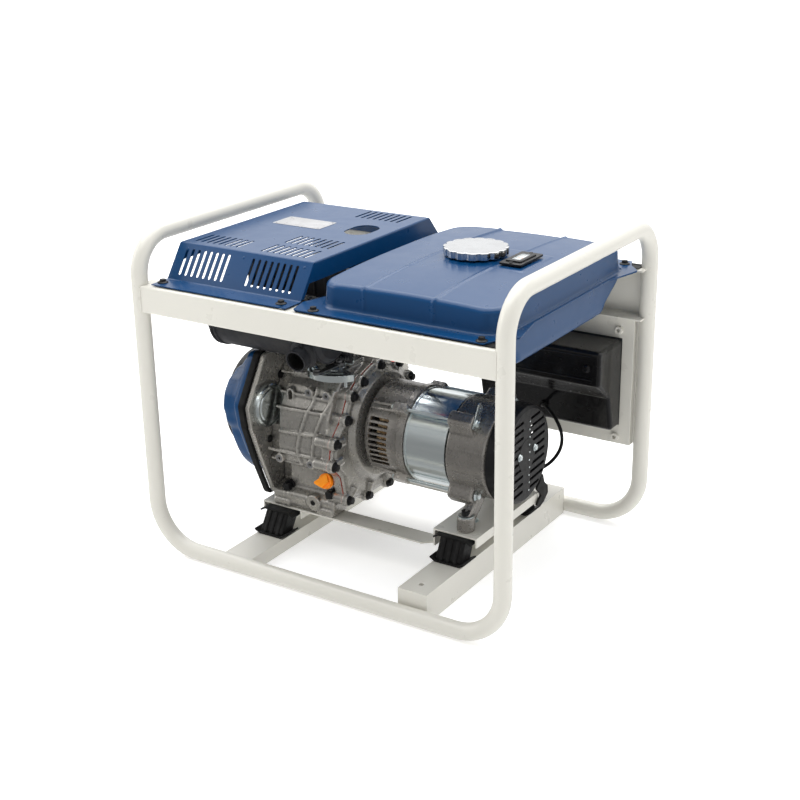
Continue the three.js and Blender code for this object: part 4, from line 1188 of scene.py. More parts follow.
def crankcase():
    neck_side = [(y + 18 if y < -60 and 98 <= z <= 290 else y, z) for y, z in CASE_SIDE]
    forms = [
        prism("x", soften(CASE_SIDE, 7, 3), -152, CASE["right"], 2.5),
        prism("x", soften(neck_side, 7, 3), CASE["left"], -150, 2.5),
        prism("x", soften(scaled_rim(0.95), 12, 4), CASE["right"] - 2, CASE["joint"] - 0.3, 1.0),
        prism("x", soften(plate_outline(0), 10, 3), CASE["plate"], CASE["left"] + 1, 1.5),
        block((-160, -70), (-44, 44), (285, 370), 2.0),
    ]
    forms += [block((-166, -64), (-48, 48), (z, z + 4), 1.2) for z in range(300, 361, 12)]
    ribs = [
        [(-92, 274), (-92, 258), (-102, 228), (-110, 202), (-114, 170), (-109, 150)],
        [(-62, 274), (-62, 259), (-72, 232), (-81, 205), (-85, 172), (-84, 150)],
        [(-172, 260), (-120, 260), (-64, 260)], [(-172, 238), (-120, 239), (-64, 241)],
        [(-172, 201), (-120, 202), (-64, 207)], [(-172, 167), (-120, 167), (-64, 168)],
        [(-172, 148), (-120, 147), (-64, 150)], [(-172, 284), (-120, 285), (-66, 287)],
    ]
    forms += [face_rib(r) for r in ribs]
    for x in (-150, -118, -86):
        forms.append(tube([(x, y * -0.97, z) for y, z in ((-111, 230), (-116, 180), (-114, 120))], 4, 8))
    for z in (130, 175, 215):
        forms.append(tube([(-174, 110, z), (-62, 110, z)], 3.4, 8))
    for x, z in SMALL_BOSSES:
        forms.append(boss("y", 7, case_face(z) - 6.5, case_face(z) + 12, (x, z)))
    forms.append(shifted(prism("y", stadium(15, 22), -104, -92, 2), -138, 0, 258))
    forms.append(boss("y", 12, -111, -96, DRAIN))
    forms += [bar("x", 9.5, CASE["right"] - 14, CASE["joint"] - 0.3, at, 28, 1.0) for at in GEAR_BOLTS]
    forms.append(aimed(bar("z", 12.5, -16, 2, (0, 0), 32, 0.8), DIPSTICK["at"], DIPSTICK["out"]))
    for x in (-160, -76):
        for side in (-1, 1):
            forms.append(block((x - 16, x + 16), sorted((side * 72, side * 110)), (64.3, 76), 2.5))
    cutters = [
        prism("x", CHAMBER, -153, CASE["right"] - 3, 0),
        prism("x", scaled_rim(0.7), CASE["right"] - 4, CASE["joint"] + 1, 0),
        bar("x", STARTER_R + 4, CASE["left"], -158, STARTER, 40, 0),
        block((CASE["left"], -150), (STARTER[0] - 60, STARTER[0] - 3),
              (STARTER[1] - STARTER_R - 4, STARTER[1] + STARTER_R + 4), 0),
        bar("x", 20.5, CASE["plate"] - 1, CASE["left"] + 12, AXIS, 32, 0),
        bar("z", 39.2, 250, 372, (CYLINDER_X, 0), 40, 0),
        aimed(bar("z", 8, -40, 3, (0, 0), 24, 0), DIPSTICK["at"], DIPSTICK["out"]),
        bar("y", 4.5, -114, -100, DRAIN, 20, 0),
    ]
    for x, z in SMALL_BOSSES:
        cutters.append(bar("y", 2.6, case_face(z) - 8, case_face(z) + 6, (x, z), 20, 0))
    cutters.append(shifted(prism("y", stadium(8, 15), -110, -90, 0), -138, 0, 258))
    return cast(carved(merge(*forms), *cutters, loose=True), 1.5, 2)


piece("crankcase_casting", crankcase(), "cast_alloy", stands_for=("crankcase",), angle=60, weighted=False)

band = carved(prism("x", soften(plate_outline(3.5), 10, 4), SHROUD["band"], -186.4, 1.2),
              prism("x", soften(plate_outline(-1), 8, 3), -201, -185, 0))
piece("shroud_rubber_band", band, "black_rubber")

boss_rims = []
for x, z in SMALL_BOSSES:
    y = case_face(z) - 6.4
    boss_rims.append(hoop("y", 2.8, 5.8, y - 0.7, y + 1, (x, z), 32, 0.3))
piece("machined_boss_rims", merge(*boss_rims), "steel")

plugs = []
for y, z, r in ((-75, 277, 7), (-111, 178, 6), (75, 277, 7), (112, 190, 6)):
    x = CASE["left"]
    plugs.append(lathe("x", [(0, x), (r, x), (r, x + 3), (r - 2, x + 4.5), (0, x + 4.5)], (y, z), 28, 0.6))
plugs.append(bar("y", 4.2, -110.5, -103, DRAIN, 20, 0.8))
piece("rubber_plugs", merge(*plugs), "black_rubber")

drains = []
for x, y, z in ((-152, -94, 97), (-68, -94, 101), (-150, 110, 100)):
    head = prism("z", rounded_rect(-6, 6, -6, 6, 1.2), 3, 13, 0.8)
    collar = bar("z", 10, 0, 3.4, (0, 0), 32, 0.6)
    drains.append(stand(merge(collar, head), (x, y, z), "y", -1 if y < 0 else 1, 12))
piece("drain_plugs", merge(*drains), "black_plastic")


def domed_cap():
    base = CASE["left"]
    profile = [(0, base + 0.3), (35, base + 0.3), (35, base + 9), (33.4, base + 11.6), (31.4, base + 11.6),
               (29.8, base + 9.4), (27.5, base + 9.4), (25.8, base + 11.0), (12, base + 12.4),
               (0, base + 12.8)]
    return lathe("x", profile, STARTER, 96, 0.6)


piece("starter_hole_cover", domed_cap(), "zinc_sheet", stands_for=("starter_hole_cap",))


def oil_filler_plug():
    """Orange disc with a gripping tab, a short threaded neck and the measuring blade."""
    disc = lathe("z", [(0, 2.3), (12.5, 2.3), (12.5, 6), (11.2, 9.5), (4, 9.5), (0, 9.5)], (0, 0), 48, 0.9)
    tab = prism("z", soften([(0, 12.2), (-19.5, -5.5), (-18.5, -8), (-3, -12), (8, 0)], 2, 3), 2.6, 11.4,
                0.8)
    rim = hoop("z", 10.6, 12.2, 9.2, 10.4, (0, 0), 48, 0.4)
    threads = [lathe("z", [(6.2, z), (7.4, z + 0.8), (6.2, z + 1.6)], (0, 0), 32) for z in range(-20, -2, 2)]
    neck = bar("z", 6.3, -22, 3, (0, 0), 28, 0.5)
    blade = block((-2.6, 2.6), (-0.8, 0.8), (-74, -20), 0.3)
    notches = [block((-2.9, 2.9), (-1.1, 1.1), (z, z + 1), 0.2) for z in (-70, -58)]
    return aimed(merge(disc, tab, rim, *threads, neck, blade, *notches), DIPSTICK["at"], DIPSTICK["out"])


piece("oil_filler_plug", oil_filler_plug(), "orange_plastic", "dipstick_body", ("dipstick",))


# ---------------------------------------------------------------- timing-gear cover

def gear_case():
    joint, right, neck = CASE["joint"], CASE["gear"], CASE["neck"]
    forms = [
        prism("x", soften(scaled_rim(0.95), 12, 4), joint, joint + 5, 1.2),
        prism("x", soften(scaled_rim(0.91), 14, 4), joint, right, 2.6),
        lathe("x", [(0, right - 4), (100, right - 4), (84, neck), (0, neck)], AXIS, 64, 3),
        bar("x", 60, neck - 1, -19.3, AXIS, 64, 1.5),
    ]
    forms += [boss("x", 10, joint, -34.5, at) for at in GEAR_BOLTS]
    for y, z in GEAR_BOLTS:
        lean = Vector((y, z - AXIS_Z)).normalized() * 15
        path = [(right - 4, y - lean.x * 0.4, z - lean.y * 0.4),
                (right - 1, y - lean.x * 1.5, z - lean.y * 1.5)]
        forms.append(tube(path, 8.5, 14))
    cutters = [
        prism("x", scaled_rim(0.84), joint - 1, joint + 3, 0),
        bar("x", 24, joint - 1, -18, AXIS, 40, 0),
    ]
    return cast(carved(merge(*forms), *cutters, loose=True), 1.5, 3)


piece("gear_case_casting", gear_case(), "cast_alloy", stands_for=("gear_case_cover",), angle=60,
      weighted=False)
gear_bolts = [stand(hex_bolt(11, 7, 8.6), (-34.8, *at), "x", 1, 7 * i) for i, at in enumerate(GEAR_BOLTS)]
piece("gear_case_bolts", merge(*gear_bolts), "black_plastic")
gasket = carved(prism("x", soften(scaled_rim(0.955), 12, 4), CASE["joint"] - 0.3, CASE["joint"], 0),
                prism("x", scaled_rim(0.88), CASE["joint"] - 1, CASE["joint"] + 1, 0))
gasket = merge(gasket, *[bar("x", 9.8, CASE["joint"] - 0.3, CASE["joint"], at, 28, 0) for at in GEAR_BOLTS])
piece("gear_case_gasket", gasket, "gasket")


# ---------------------------------------------------------------- fan shroud and recoil starter

RECOIL = {"left": -288, "r": 90, "rope_x": -272, "rope_z": AXIS_Z + 45}
EAR_ANGLES = (30, 150, 270)
VOLUTE = [
    (0, 119), (30, 119), (60, 118), (90, 116), (118, 115), (131, 119), (140, 129), (150, 138), (158, 140.5),
    (166, 139), (176, 131), (187, 120), (203, 118), (223, 119), (243, 119), (270, 118), (300, 118),
    (330, 118), (360, 119),
]


def reach(outline, steps=160):
    """Distances from the shaft to a closed outline, at even angles round the shaft."""
    found = []
    for i in range(steps):
        way = Vector((math.cos(2 * math.pi * i / steps), math.sin(2 * math.pi * i / steps)))
        best = 0.0
        for p, q in zip(outline, outline[1:] + outline[:1]):
            start, edge = Vector((p[0], p[1] - AXIS_Z)), Vector((q[0] - p[0], q[1] - p[1]))
            spread = way.x * edge.y - way.y * edge.x
            if abs(spread) < 1e-9:
                continue
            along = (start.x * edge.y - start.y * edge.x) / spread
            part = (start.x * way.y - start.y * way.x) / spread
            if along > 0 and -1e-6 <= part <= 1 + 1e-6:
                best = max(best, along)
        found.append(best)
    return found


def volute_reach(steps=160):
    found = []
    for i in range(steps):
        angle = 360 * i / steps
        for (a, low), (b, high) in zip(VOLUTE, VOLUTE[1:]):
            if a <= angle <= b:
                found.append(low + (high - low) * smoothstep(angle, a, b))
                break
    return found


def fan_shroud():
    """Pressed cowl: the plate's outline at the engine closes down to the spiral round the fan."""
    left, sheet, mouth = SHROUD["left"], SHROUD["sheet"], SHROUD["mouth"]
    plate, spiral = reach(soften(plate_outline(1, COWL_HALF), 16, 5)), volute_reach()
    rows = [
        (SHROUD["band"] - 0.3, 0.0, 0.0), (-205, 0.0, 0.0), (-209, 0.0, 1.2), (-212, 0.08, 3.0),
        (-216, 0.32, 3.6), (-221, 0.72, 2.6), (-227, 0.95, 0.8), (-235, 1.0, 0.0), (-246, 1.0, 0.6),
        (-250, 1.0, 2.4), (-253, 1.0, 5.4), (left + 0.5, 1.0, 9.6), (left, 1.0, 14.0),
    ]

    def ring(x, radii):
        turns = [2 * math.pi * i / len(radii) for i in range(len(radii))]
        return [(x, r * math.cos(a), AXIS_Z + r * math.sin(a)) for r, a in zip(radii, turns)]

    outer, inner = [], []
    for x, share, drop in rows:
        radii = [p + (q - p) * share - drop for p, q in zip(plate, spiral)]
        outer.append(ring(x, radii))
        behind = max(x + 0.4 * sheet, x if x > -246 else left + sheet)
        radii = [p + (q - p) * share - (drop + sheet) for p, q in zip(plate, spiral)]
        inner.append(ring(behind, radii))
    lip = [ring(x, [mouth] * len(plate)) for x in (left, left + sheet)]
    skin = rings_form(outer + lip + inner[::-1], closed_ends=False, loop=True)
    seat = hoop("x", 76, 91.5, left - 0.3, left + 1, AXIS, 96, 0.3)
    return merge(skin, seat)


piece("fan_shroud_pressing", fan_shroud(), "blue_paint", stands_for=("fan_shroud",), angle=42)


def fan_wheel():
    """Flywheel with its ring of cooling blades."""
    ring = lathe("x", [(15.3, -248), (34, -248), (34, -222), (82, -216), (82, -236), (104, -236),
                       (104, -204), (84, -204), (82, -206), (40, -210), (15.3, -210)], AXIS, 80, 0.8)
    blades = []
    for i in range(24):
        blade = prism("x", [(84, -1.2), (107, -7), (107.5, -4.5), (85, 1.4)], -240, -202, 0.4)
        blades.append(round_shaft(blade, i * 15))
    return merge(ring, *blades)


piece("cooling_flywheel", fan_wheel(), "iron", "crank_train", ("flywheel",))


def recoil_cover():
    left, r = RECOIL["left"], RECOIL["r"]
    right = SHROUD["left"] - 0.4
    shell = lathe("x",
                  [(0, left), (18, left), (20, left + 2), (46, left + 2), (48, left), (r - 10, left),
                   (r - 3, left + 2.2), (r, left + 8), (r, right), (r - 3, right), (r - 3, left + 9),
                   (r - 11, left + 4), (0, left + 4)], AXIS, 96, 0.7)
    ears = []
    for angle in EAR_ANGLES:
        ear = merge(block((right - 5, right), (84, 100), (-9, 9), 1.5),
                    bar("x", 6, right - 9, right - 1, (92, 0), 24, 0.6))
        ears.append(round_shaft(ear, angle))
    cutters = []
    for i in range(12):
        for radius, width, length in ((65, 9, 22), (33, 6, 12)):
            hole = prism("x", [(radius + b, a) for a, b in stadium(width, length)], left - 2, left + 7, 0)
            cutters.append(round_shaft(hole, i * 30))
    side = []
    for i in range(20):
        slot = block((left + 12, left + 27), (80, 96), (-2.6, 2.6), 0)
        if i not in (2, 3):
            side.append(round_shaft(slot, i * 18))
    x, z = RECOIL["rope_x"], RECOIL["rope_z"]
    rope = block((x - 5, x + 5), (60, 92), (z - 5, z + 5), 0)
    body = carved(shell, *cutters, *side, rope)
    guide = lathe("y", [(3.2, 76), (8, 76), (8, 84), (6, 86), (3.2, 86)], (x, z), 32, 0.6)
    return merge(body, guide, *ears)


piece("recoil_cover", recoil_cover(), "black_plastic", stands_for=("recoil_housing",))
recoil_screw = stand(hex_bolt(8, 5, 6.5), (SHROUD["left"] - 9, 92, AXIS_Z), "x", -1)
recoil_screws = [turned_about(recoil_screw, "x", angle, (0, 0, AXIS_Z)) for angle in EAR_ANGLES]
piece("recoil_screws", merge(*recoil_screws), "zinc")


def rope_pulley():
    wheel = lathe("x", [(0, -282.5), (50, -282.5), (52, -281), (52, -276), (40, -275), (40, -269),
                        (52, -268), (52, -264), (0, -264)], AXIS, 64, 0.6)
    turns = []
    for k in range(2):
        turns.append(tube([(-274.2 + 3.4 * k, y, AXIS_Z + z) for y, z in polygon(42, 48)], 1.7, 8,
                          loop=True))
    spokes = [round_shaft(block((-283.4, -281), (14, 46), (-2, 2), 0.5), i * 60)
              for i in range(6)]
    return merge(wheel, *turns, *spokes)


piece("rope_pulley", rope_pulley(), "black_plastic", "pulley_body", ("recoil_pulley",))


def pull_handle():
    x, z = RECOIL["rope_x"], RECOIL["rope_z"]
    side = [(11, -46), (9, -24), (12, 0), (9, 24), (11, 46)]
    outline = [(x - 11, z - 46), *[(x + a, z + b) for a, b in side],
               *[(x - a, z + b) for a, b in side[:0:-1]]]
    grip = prism("y", soften(outline, 8, 4), 100, 114, 4.5, 4)
    neck = [(x - 8, z - 40), (x + 8, z - 40), (x + 5, z), (x + 8, z + 40), (x - 8, z + 40), (x - 5, z)]
    stem = prism("y", soften(neck, 6), 92, 103, 1.5)
    ridges = [tube([(x - 9, 113.2, z + k * 8), (x + 9, 113.2, z + k * 8)], 0.9, 8) for k in range(-4, 5)]
    return merge(grip, stem, *ridges)


def braided_rope():
    x, z = RECOIL["rope_x"], RECOIL["rope_z"]
    strands = []
    for k in range(3):
        path = []
        for i in range(109):
            a = 2 * math.pi * (i / 12 + k / 3)
            path.append((x + 1.05 * math.cos(a), -66 + 1.5 * i, z + 1.05 * math.sin(a)))
        strands.append(tube(path, 1.15, 6))
    return merge(*strands)


piece("starter_handle_grip", pull_handle(), "black_rubber", "starter_handle", ("starter_grip",))
piece("starter_rope", braided_rope(), "rope", "starter_handle")


# ---------------------------------------------------------------- rubber mounts

def rubber_mount(node, x, side, low_y, high_y):
    """Inclined rubber block with ribs on its outer face, bonded between two curved plates."""
    low, high = (c.z for c in span(node))
    bottom, top = low + 2, high - 2

    def leaning(near, far):
        corners = (low_y, near, bottom), (low_y, far, bottom), (high_y, far, top), (high_y, near, top)
        return [(side * (y + d), z) for y, d, z in corners]

    forms = [prism("x", soften(leaning(-16, 16), 4, 4), x - 22, x + 22, 3, 3)]
    for dx in (-12, 0, 12):
        forms.append(prism("x", soften(leaning(6, 18), 3, 3), x + dx - 3.2, x + dx + 3.2, 2))
    for z, y, half_x, half_y, sign in ((low + 1.4, low_y, 30, 19, 1), (high - 1.4, high_y, 33, 19, -1)):
        path = [(x - half_x, z + sign * 5), (x - half_x + 9, z), (x + half_x - 9, z),
                (x + half_x, z + sign * 5)]
        forms.append(prism("y", sheet_outline(path, 2.6, 6, 5), side * y - half_y, side * y + half_y, 0.6))
    return merge(*forms)


for node, x, low_y, high_y in (("mount_left", -160.5, 126, 105), ("mount_right", 160, 106, 90)):
    for end, side in (("front", -1), ("rear", 1)):
        name = f"{node}_{end}"
        piece(f"{name}_moulded", rubber_mount(name, x, side, low_y, high_y), "black_rubber",
              stands_for=(name,))

flap = [
    (84, 101), (94, 108), (100, 120), (107, 119), (112, 104), (124, 93), (126, 80), (112, 69), (98, 65),
    (84, 72), (102, 84),
]
piece("bracket_end_flap", prism("x", soften(flap, 4, 4), 199, 203, 1.2), "black_rubber")

tray_bolts = []
for x, y, z in ((-160.5, -66, 64), (-160.5, 66, 64), (-138.5, 105, 64), (160, -46, 89), (160, 46, 89)):
    tray_bolts.append(shifted(hex_bolt(13, 7, 10), x, y, z))
piece("tray_bolts", merge(*tray_bolts), "zinc")


# ---------------------------------------------------------------- cylinder head and exhaust

HEAD_LOW, HEAD_HIGH = span("cylinder_head")


def cylinder_head():
    forms = [block((-160, -70), (-42, 42), (HEAD_LOW.z, HEAD_HIGH.z - 0.2), 2)]
    forms += [block((-164, -66), (-48, 48), (z, z + 4), 1.2) for z in (HEAD_LOW.z, 378.4, 386, 394)]
    forms.append(block((-162, -68), (-46, 46), (HEAD_HIGH.z - 6, HEAD_HIGH.z), 1.6))
    forms += [bar("z", 8, HEAD_LOW.z, HEAD_HIGH.z, (x, y), 24, 1) for x in (-152, -78) for y in (-36, 36)]
    return merge(*forms)


piece("cylinder_head_casting", cylinder_head(), "cast_alloy", stands_for=("cylinder_head",))


def rocker_cover():
    base = HEAD_HIGH.z + 0.4
    forms = [
        prism("z", rounded_rect(-152, -78, -40, 36, 12), base, base + 4, 1.4),
        prism("z", rounded_rect(-149.5, -80.5, -37.5, 33.5, 11), base + 2, 430, 5, 4),
        prism("z", rounded_rect(-145, -85, -33, 29, 11), 426, 436, 4, 4),
    ]
    forms += [tube([(x, -30, 436), (x, 26, 436)], 1.4, 8) for x in (-135, -125, -115, -105, -95)]
    forms += [bar("z", 6.5, base, base + 14, (x, y), 24, 1) for x in (-146, -84) for y in (-34, 30)]
    return cast(merge(*forms), 1.3, 2)


piece("rocker_cover_casting", rocker_cover(), "cast_alloy", stands_for=("rocker_cover",), angle=60,
      weighted=False)
head_bolts = [shifted(hex_bolt(8, 5, 6.5), x, y, HEAD_HIGH.z + 14) for x in (-146, -84) for y in (-34, 30)]
piece("head_bolts", merge(*head_bolts), "black_plastic")


def release_lever():
    x, y, z = -140, 36, 420
    hub = lathe("y", [(0, y + 0.3), (8, y + 0.3), (8, y + 8.6), (6.6, y + 10), (0, y + 10)], (x, z), 40, 0.6)
    side = [(x, z - 4.6), (x + 34, z - 3.4), (x + 42, z - 5), (x + 42, z + 5), (x + 34, z + 3.4),
            (x, z + 4.6)]
    arm = prism("y", soften(side, 3, 3), y + 5, y + 9, 1)
    return merge(hub, arm)


piece("release_lever", release_lever(), "steel", "decompression_body", ("decompression_lever",))

MUFFLER = {"y": -98, "z": 368.6, "r": 46, "left": -275, "right": -50}


def muffler():
    left, right, r = MUFFLER["left"], MUFFLER["right"], MUFFLER["r"]
    at = (MUFFLER["y"], MUFFLER["z"])
    profile = [(0, left), (24, left), (r - 10, left + 3), (r - 3.4, left + 11), (r - 2.6, left + 13),
               (r, left + 13.6), (r, left + 17), (r - 2.4, left + 17.6), (r - 2.4, left + 20),
               (r, left + 20.6), (r, left + 24), (r - 2.0, left + 25), (r - 2.0, right - 14),
               (r, right - 13), (r, right - 9), (r - 3, right - 8), (r - 9, right - 2), (22, right),
               (0, right)]
    body = lathe("x", profile, at, 96, 0.8)
    flange = block((-132, -98), (-58, -50), (356, 398), 2)
    return merge(body, flange)


piece("muffler_drum", muffler(), "heat_paint", stands_for=("muffler",))


MOUTH_TILT = math.radians(14)
MOUTH_AT = Vector((-82, MUFFLER["y"] + 2, MUFFLER["z"] - 14))
MOUTH_WAY = Vector((0, -math.cos(MOUTH_TILT), -math.sin(MOUTH_TILT)))


def exhaust_outlet():
    profile = [(15.3, 42), (17.5, 42), (17.5, 63.6), (17.9, 65.4), (15.3, 65.4)]
    collar = lathe("z", [(15.3, 43), (24, 43), (21, 46.5), (17.6, 49), (15.3, 49)], (0, 0), 64, 0.5)
    pipe = aimed(merge(lathe("z", profile, (0, 0), 64, 0.5), collar), MOUTH_AT, MOUTH_WAY)
    nuts = [aimed(shifted(hex_bolt(7, 5), 20.4, 0, 45), MOUTH_AT, MOUTH_WAY, spin) for spin in (80, 260)]
    return merge(pipe, *nuts)


piece("exhaust_mouth_pipe", exhaust_outlet(), "heat_paint", stands_for=("exhaust_outlet",))
soot = lathe("z", [(0, 44), (15.2, 44), (15.2, 62), (14.8, 62), (14.8, 45), (0, 45)], (0, 0), 48)
piece("exhaust_soot", aimed(soot, MOUTH_AT, MOUTH_WAY), "soot")


def heat_shield():
    """Pressed screen between the muffler and the head, with a folded top and stiffening ribs."""
    section = sheet_outline([(-50.5, 408), (-50.5, 462), (-62, 470)], 1.2, 5, 4)
    sheet = prism("x", section, -252, -60, 0.3)
    ribs = [tube([(x, -51.4, 412), (x, -51.4, 458)], 2.2, 8) for x in range(-240, -60, 20)]
    return merge(sheet, *ribs)


piece("muffler_heat_shield", heat_shield(), "heat_paint")


# ---------------------------------------------------------------- speed control, fuel pump and lines

SPEED = {"x": -70, "y": -63, "z": 304, "sheet": 2.5}


def speed_quadrant():
    """Stamped plate with two curved slots and folded ends."""
    x, y, z, t = SPEED["x"], SPEED["y"], SPEED["z"], SPEED["sheet"]
    plate = arc(0, 0, 52, -128, -28, 24) + arc(0, 0, 11, -28, 130, 12) + [(-32, -20)]
    cutters = []
    for outer, inner, start, end in ((43, 37, -112, -46), (29, 24, -100, -60)):
        slot = arc(0, 0, outer, start, end, 18) + arc(0, 0, inner, end, start, 18)
        cutters.append(prism("z", [(x + a, y + b) for a, b in slot], z - 1, z + t + 1, 0))
    cutters.append(bar("z", 4.3, z - 1, z + t + 1, (x, y), 24, 0))
    cutters.append(bar("z", 2.2, z - 1, z + t + 1, (x - 24, y - 30), 20, 0))
    sheet = carved(prism("z", [(x + a, y + b) for a, b in soften(plate, 2, 2)], z, z + t, 0.3), *cutters,
                   bevel=0.25)
    fold = sheet_outline([(x - 34.8, z + 14), (x - 34.8, z + 1.2), (x - 22, z + 1.2)], t, 2, 4)
    tab = prism("y", fold, y - 34, y - 20, 0.4)
    screw = shifted(hex_bolt(7, 4, 6), x - 26.8, y - 27, z + t)
    post = bar("z", 3, z - 20, z, (x + 30, y - 26), 20)
    wall = arc(0, 0, 52, -126, -30, 24) + arc(0, 0, 50, -30, -126, 24)
    lip = prism("z", [(x + a, y + b) for a, b in wall], z - 8, z + 0.6, 0.3)
    return merge(sheet, lip, tab, screw, post)


piece("speed_quadrant_plate", speed_quadrant(), "zinc_sheet", stands_for=("speed_quadrant",))


def speed_arm():
    x, y, z = SPEED["x"], SPEED["y"], SPEED["z"] + SPEED["sheet"] + 0.3
    blade = [(x - 5, y + 2), (x - 10.5, y - 56), (x - 5, y - 61), (x + 0.5, y - 57), (x + 6, y + 2)]
    arm = prism("z", soften(blade, 3, 4), z, z + 3, 0.5)
    hub = lathe("z", [(0, z - 5), (4, z - 5), (4, z), (9, z), (9, z + 4), (7.5, z + 5), (0, z + 5)], (x, y),
                36, 0.5)
    knob = shifted(hex_bolt(8, 5, 6.5), x - 5, y - 52, z + 3)
    nut = shifted(hex_bolt(9, 4), x, y, z + 5)
    return merge(arm, hub, knob, nut)


piece("speed_arm", speed_arm(), "iron", "speed_lever_body", ("speed_lever",))


def coil_spring(start, end, radius, wire, turns, hooks=8.0):
    start, end = Vector(start), Vector(end)
    way = (end - start).normalized()
    side = way.orthogonal().normalized()
    other = way.cross(side)
    count = turns * 12
    path = [start]
    for i in range(count + 1):
        a = 2 * math.pi * i / 12
        t = hooks + ((end - start).length - 2 * hooks) * i / count
        path.append(start + way * t + side * (radius * math.cos(a)) + other * (radius * math.sin(a)))
    return tube([*path, end], wire, 6)


linkage = [
    coil_spring((-98, -74, 316), (-50, -48, 316), 3.6, 0.7, 15),
    tube([(-106, -80, 312), (-98, -75, 316)], 1.3, 8),
]
piece("speed_linkage", merge(*linkage), "iron")

baffle = merge(block((-104, -54), (-53, -48.6), (308, 352), 1.6),
               *[tube([(x, -53, 313), (x, -53, 347)], 1.4, 8) for x in (-94, -79, -64)])
piece("cylinder_air_baffle", baffle, "heat_paint")


def clamp_ring(at, way, radius):
    band = hoop("z", radius, radius + 0.9, -3, 3, (0, 0), 32, 0.2)
    ear = block((radius, radius + 5), (-2, 2), (-2.4, 2.4), 0.5)
    return aimed(merge(band, ear), at, way)


def hose(name, points, radius, look="black_rubber", clamps=True):
    path = smooth_path(points, 8)
    piece(name, tube(path, radius, 14), look)
    if clamps:
        ends = [(path[2], path[2] - path[1]), (path[-3], path[-1] - path[-2])]
        piece(name + "_clamps", merge(*[clamp_ring(p, d, radius) for p, d in ends]), "zinc")


hose("fuel_supply_hose", [(40, -26, 362), (40, -10, 361), (30, 20, 352), (0, 70, 330), (-40, 104, 312),
                          (-70, 121, 306), (-87, 125, 305)], 4.2)
hose("crankcase_breather_hose", [(-92, -40, 420), (-84, -52, 410), (-66, -56, 380), (-58, -52, 345),
                                 (-60, -46, 318), (-62, -44, 306)], 5.0)
hose("injector_pipe", [(-87, 125, 300), (-98, 118, 312), (-104, 100, 330), (-108, 70, 352), (-112, 52, 384),
                       (-114, 46, 398)], 2.0, "steel", False)


PUMP = (-87, 125)


def injection_pump():
    forms = [
        block((-104, -70), (112.4, 138), (222, 262), 3),
        bar("z", 13, 258, 292, PUMP, 40, 1.4),
        bar("z", 9, 290, 300, PUMP, 6, 0.8),
        bar("z", 7, 298, 306, PUMP, 32, 0.8),
        block((-110, -64), (112.4, 118), (226, 236), 2),
        bar("y", 6, 134, 144, (-79, 240), 28, 0.8),
    ]
    forms += [lathe("z", [(12.4, z), (13.6, z + 0.8), (12.4, z + 1.6)], PUMP, 40)
              for z in range(266, 290, 5)]
    forms += [stand(hex_bolt(8, 5, 7), (x, 118, 231), "y", 1) for x in (-107, -67)]
    return merge(*forms)


piece("injection_pump_body", injection_pump(), "cast_alloy", stands_for=("injection_pump",))


# ---------------------------------------------------------------- alternator

ALT = {"front": -19, "band": 53, "rear": 129, "end": 198, "cover": 228, "r": 76}
LUG_ANGLES = (45, 135, 225, 315)
FOOT = {"x": 168, "y": 80}


def front_bell():
    r, front, band_x = ALT["r"], ALT["front"], ALT["band"]
    shell = lathe("x",
                  [(24, front), (r - 4, front), (r - 1, front + 1.5), (r, front + 4), (r, 40),
                   (r + 2, 41.4), (r + 2, band_x - 1), (r + 1, band_x), (71, band_x), (71, front + 5),
                   (24, front + 5)], AXIS, 96, 0.8)
    slots = []
    for i in range(9):
        z = AXIS_Z + 36 - i * 9
        slot = prism("y", rounded_rect(-11, 23, z - 2.8, z + 2.8, 0.9, 2), 45, 90, 0)
        slots += [slot, mirrored(slot, "y")]
    lug = merge(block((28, band_x - 0.4), (71, 88), (-8, 8), 2.5),
                *[tube([(-14, 74, z), (32, 79, z)], 2.4, 10) for z in (-4.5, 4.5)])
    lugs = [round_shaft(lug, angle) for angle in LUG_ANGLES]
    return merge(carved(shell, *slots, bevel=0.4, angle=40), *lugs)


piece("front_bell_casting", front_bell(), "bell_alloy", stands_for=("alternator_front_bell",), angle=42)


def stator_sheet():
    x0, x1 = ALT["band"] + 0.4, ALT["rear"] - 2.5
    sheet = hoop("x", 71.3, 73.7, x0, x1, AXIS, 128, 0.3)
    bead = [lathe("x", [(73, x0), (75.4, x0 + 0.6), (75.4, x0 + 3.4), (73, x0 + 4)], AXIS, 96, 0.4),
            lathe("x", [(73, x1 - 2.6), (74.6, x1 - 2.2), (74.6, x1 - 0.4), (73, x1)], AXIS, 96, 0.3)]
    seam = block((x0 + 3, x1 - 2), (72.8, 74.2), (AXIS_Z - 0.6, AXIS_Z + 0.6), 0.3)
    seams = [turned_about(seam, "x", a, (0, 0, AXIS_Z)) for a in (150, 222, 20)]
    return merge(sheet, *bead, *seams)


piece("stator_band_sheet", stator_sheet(), "zinc_sheet", stands_for=("stator_band",))
piece("stator_gap_ring", hoop("x", 69, 72.4, ALT["rear"] - 3, ALT["rear"], AXIS, 72), "black_rubber")


def winding(x0, x1, r):
    """End winding: a wire bundle that weaves round the core, with its lacing."""
    waves, steps = 36, 10
    loops = []
    for shift, radius in ((0.0, r), (0.5, r - 4)):
        path = []
        for i in range(waves * steps):
            a = 2 * math.pi * i / (waves * steps)
            swing = math.sin(2 * math.pi * (i / steps + shift))
            x = (x0 + x1) / 2 + (x1 - x0) / 2 * 0.9 * swing
            path.append((x, radius * math.cos(a), AXIS_Z + radius * math.sin(a)))
        loops.append(tube(path, 2.3, 7, loop=True))
    body = hoop("x", 49, r, x0 + 3, x1 - 3, AXIS, 72, 3)
    return merge(body, *loops)


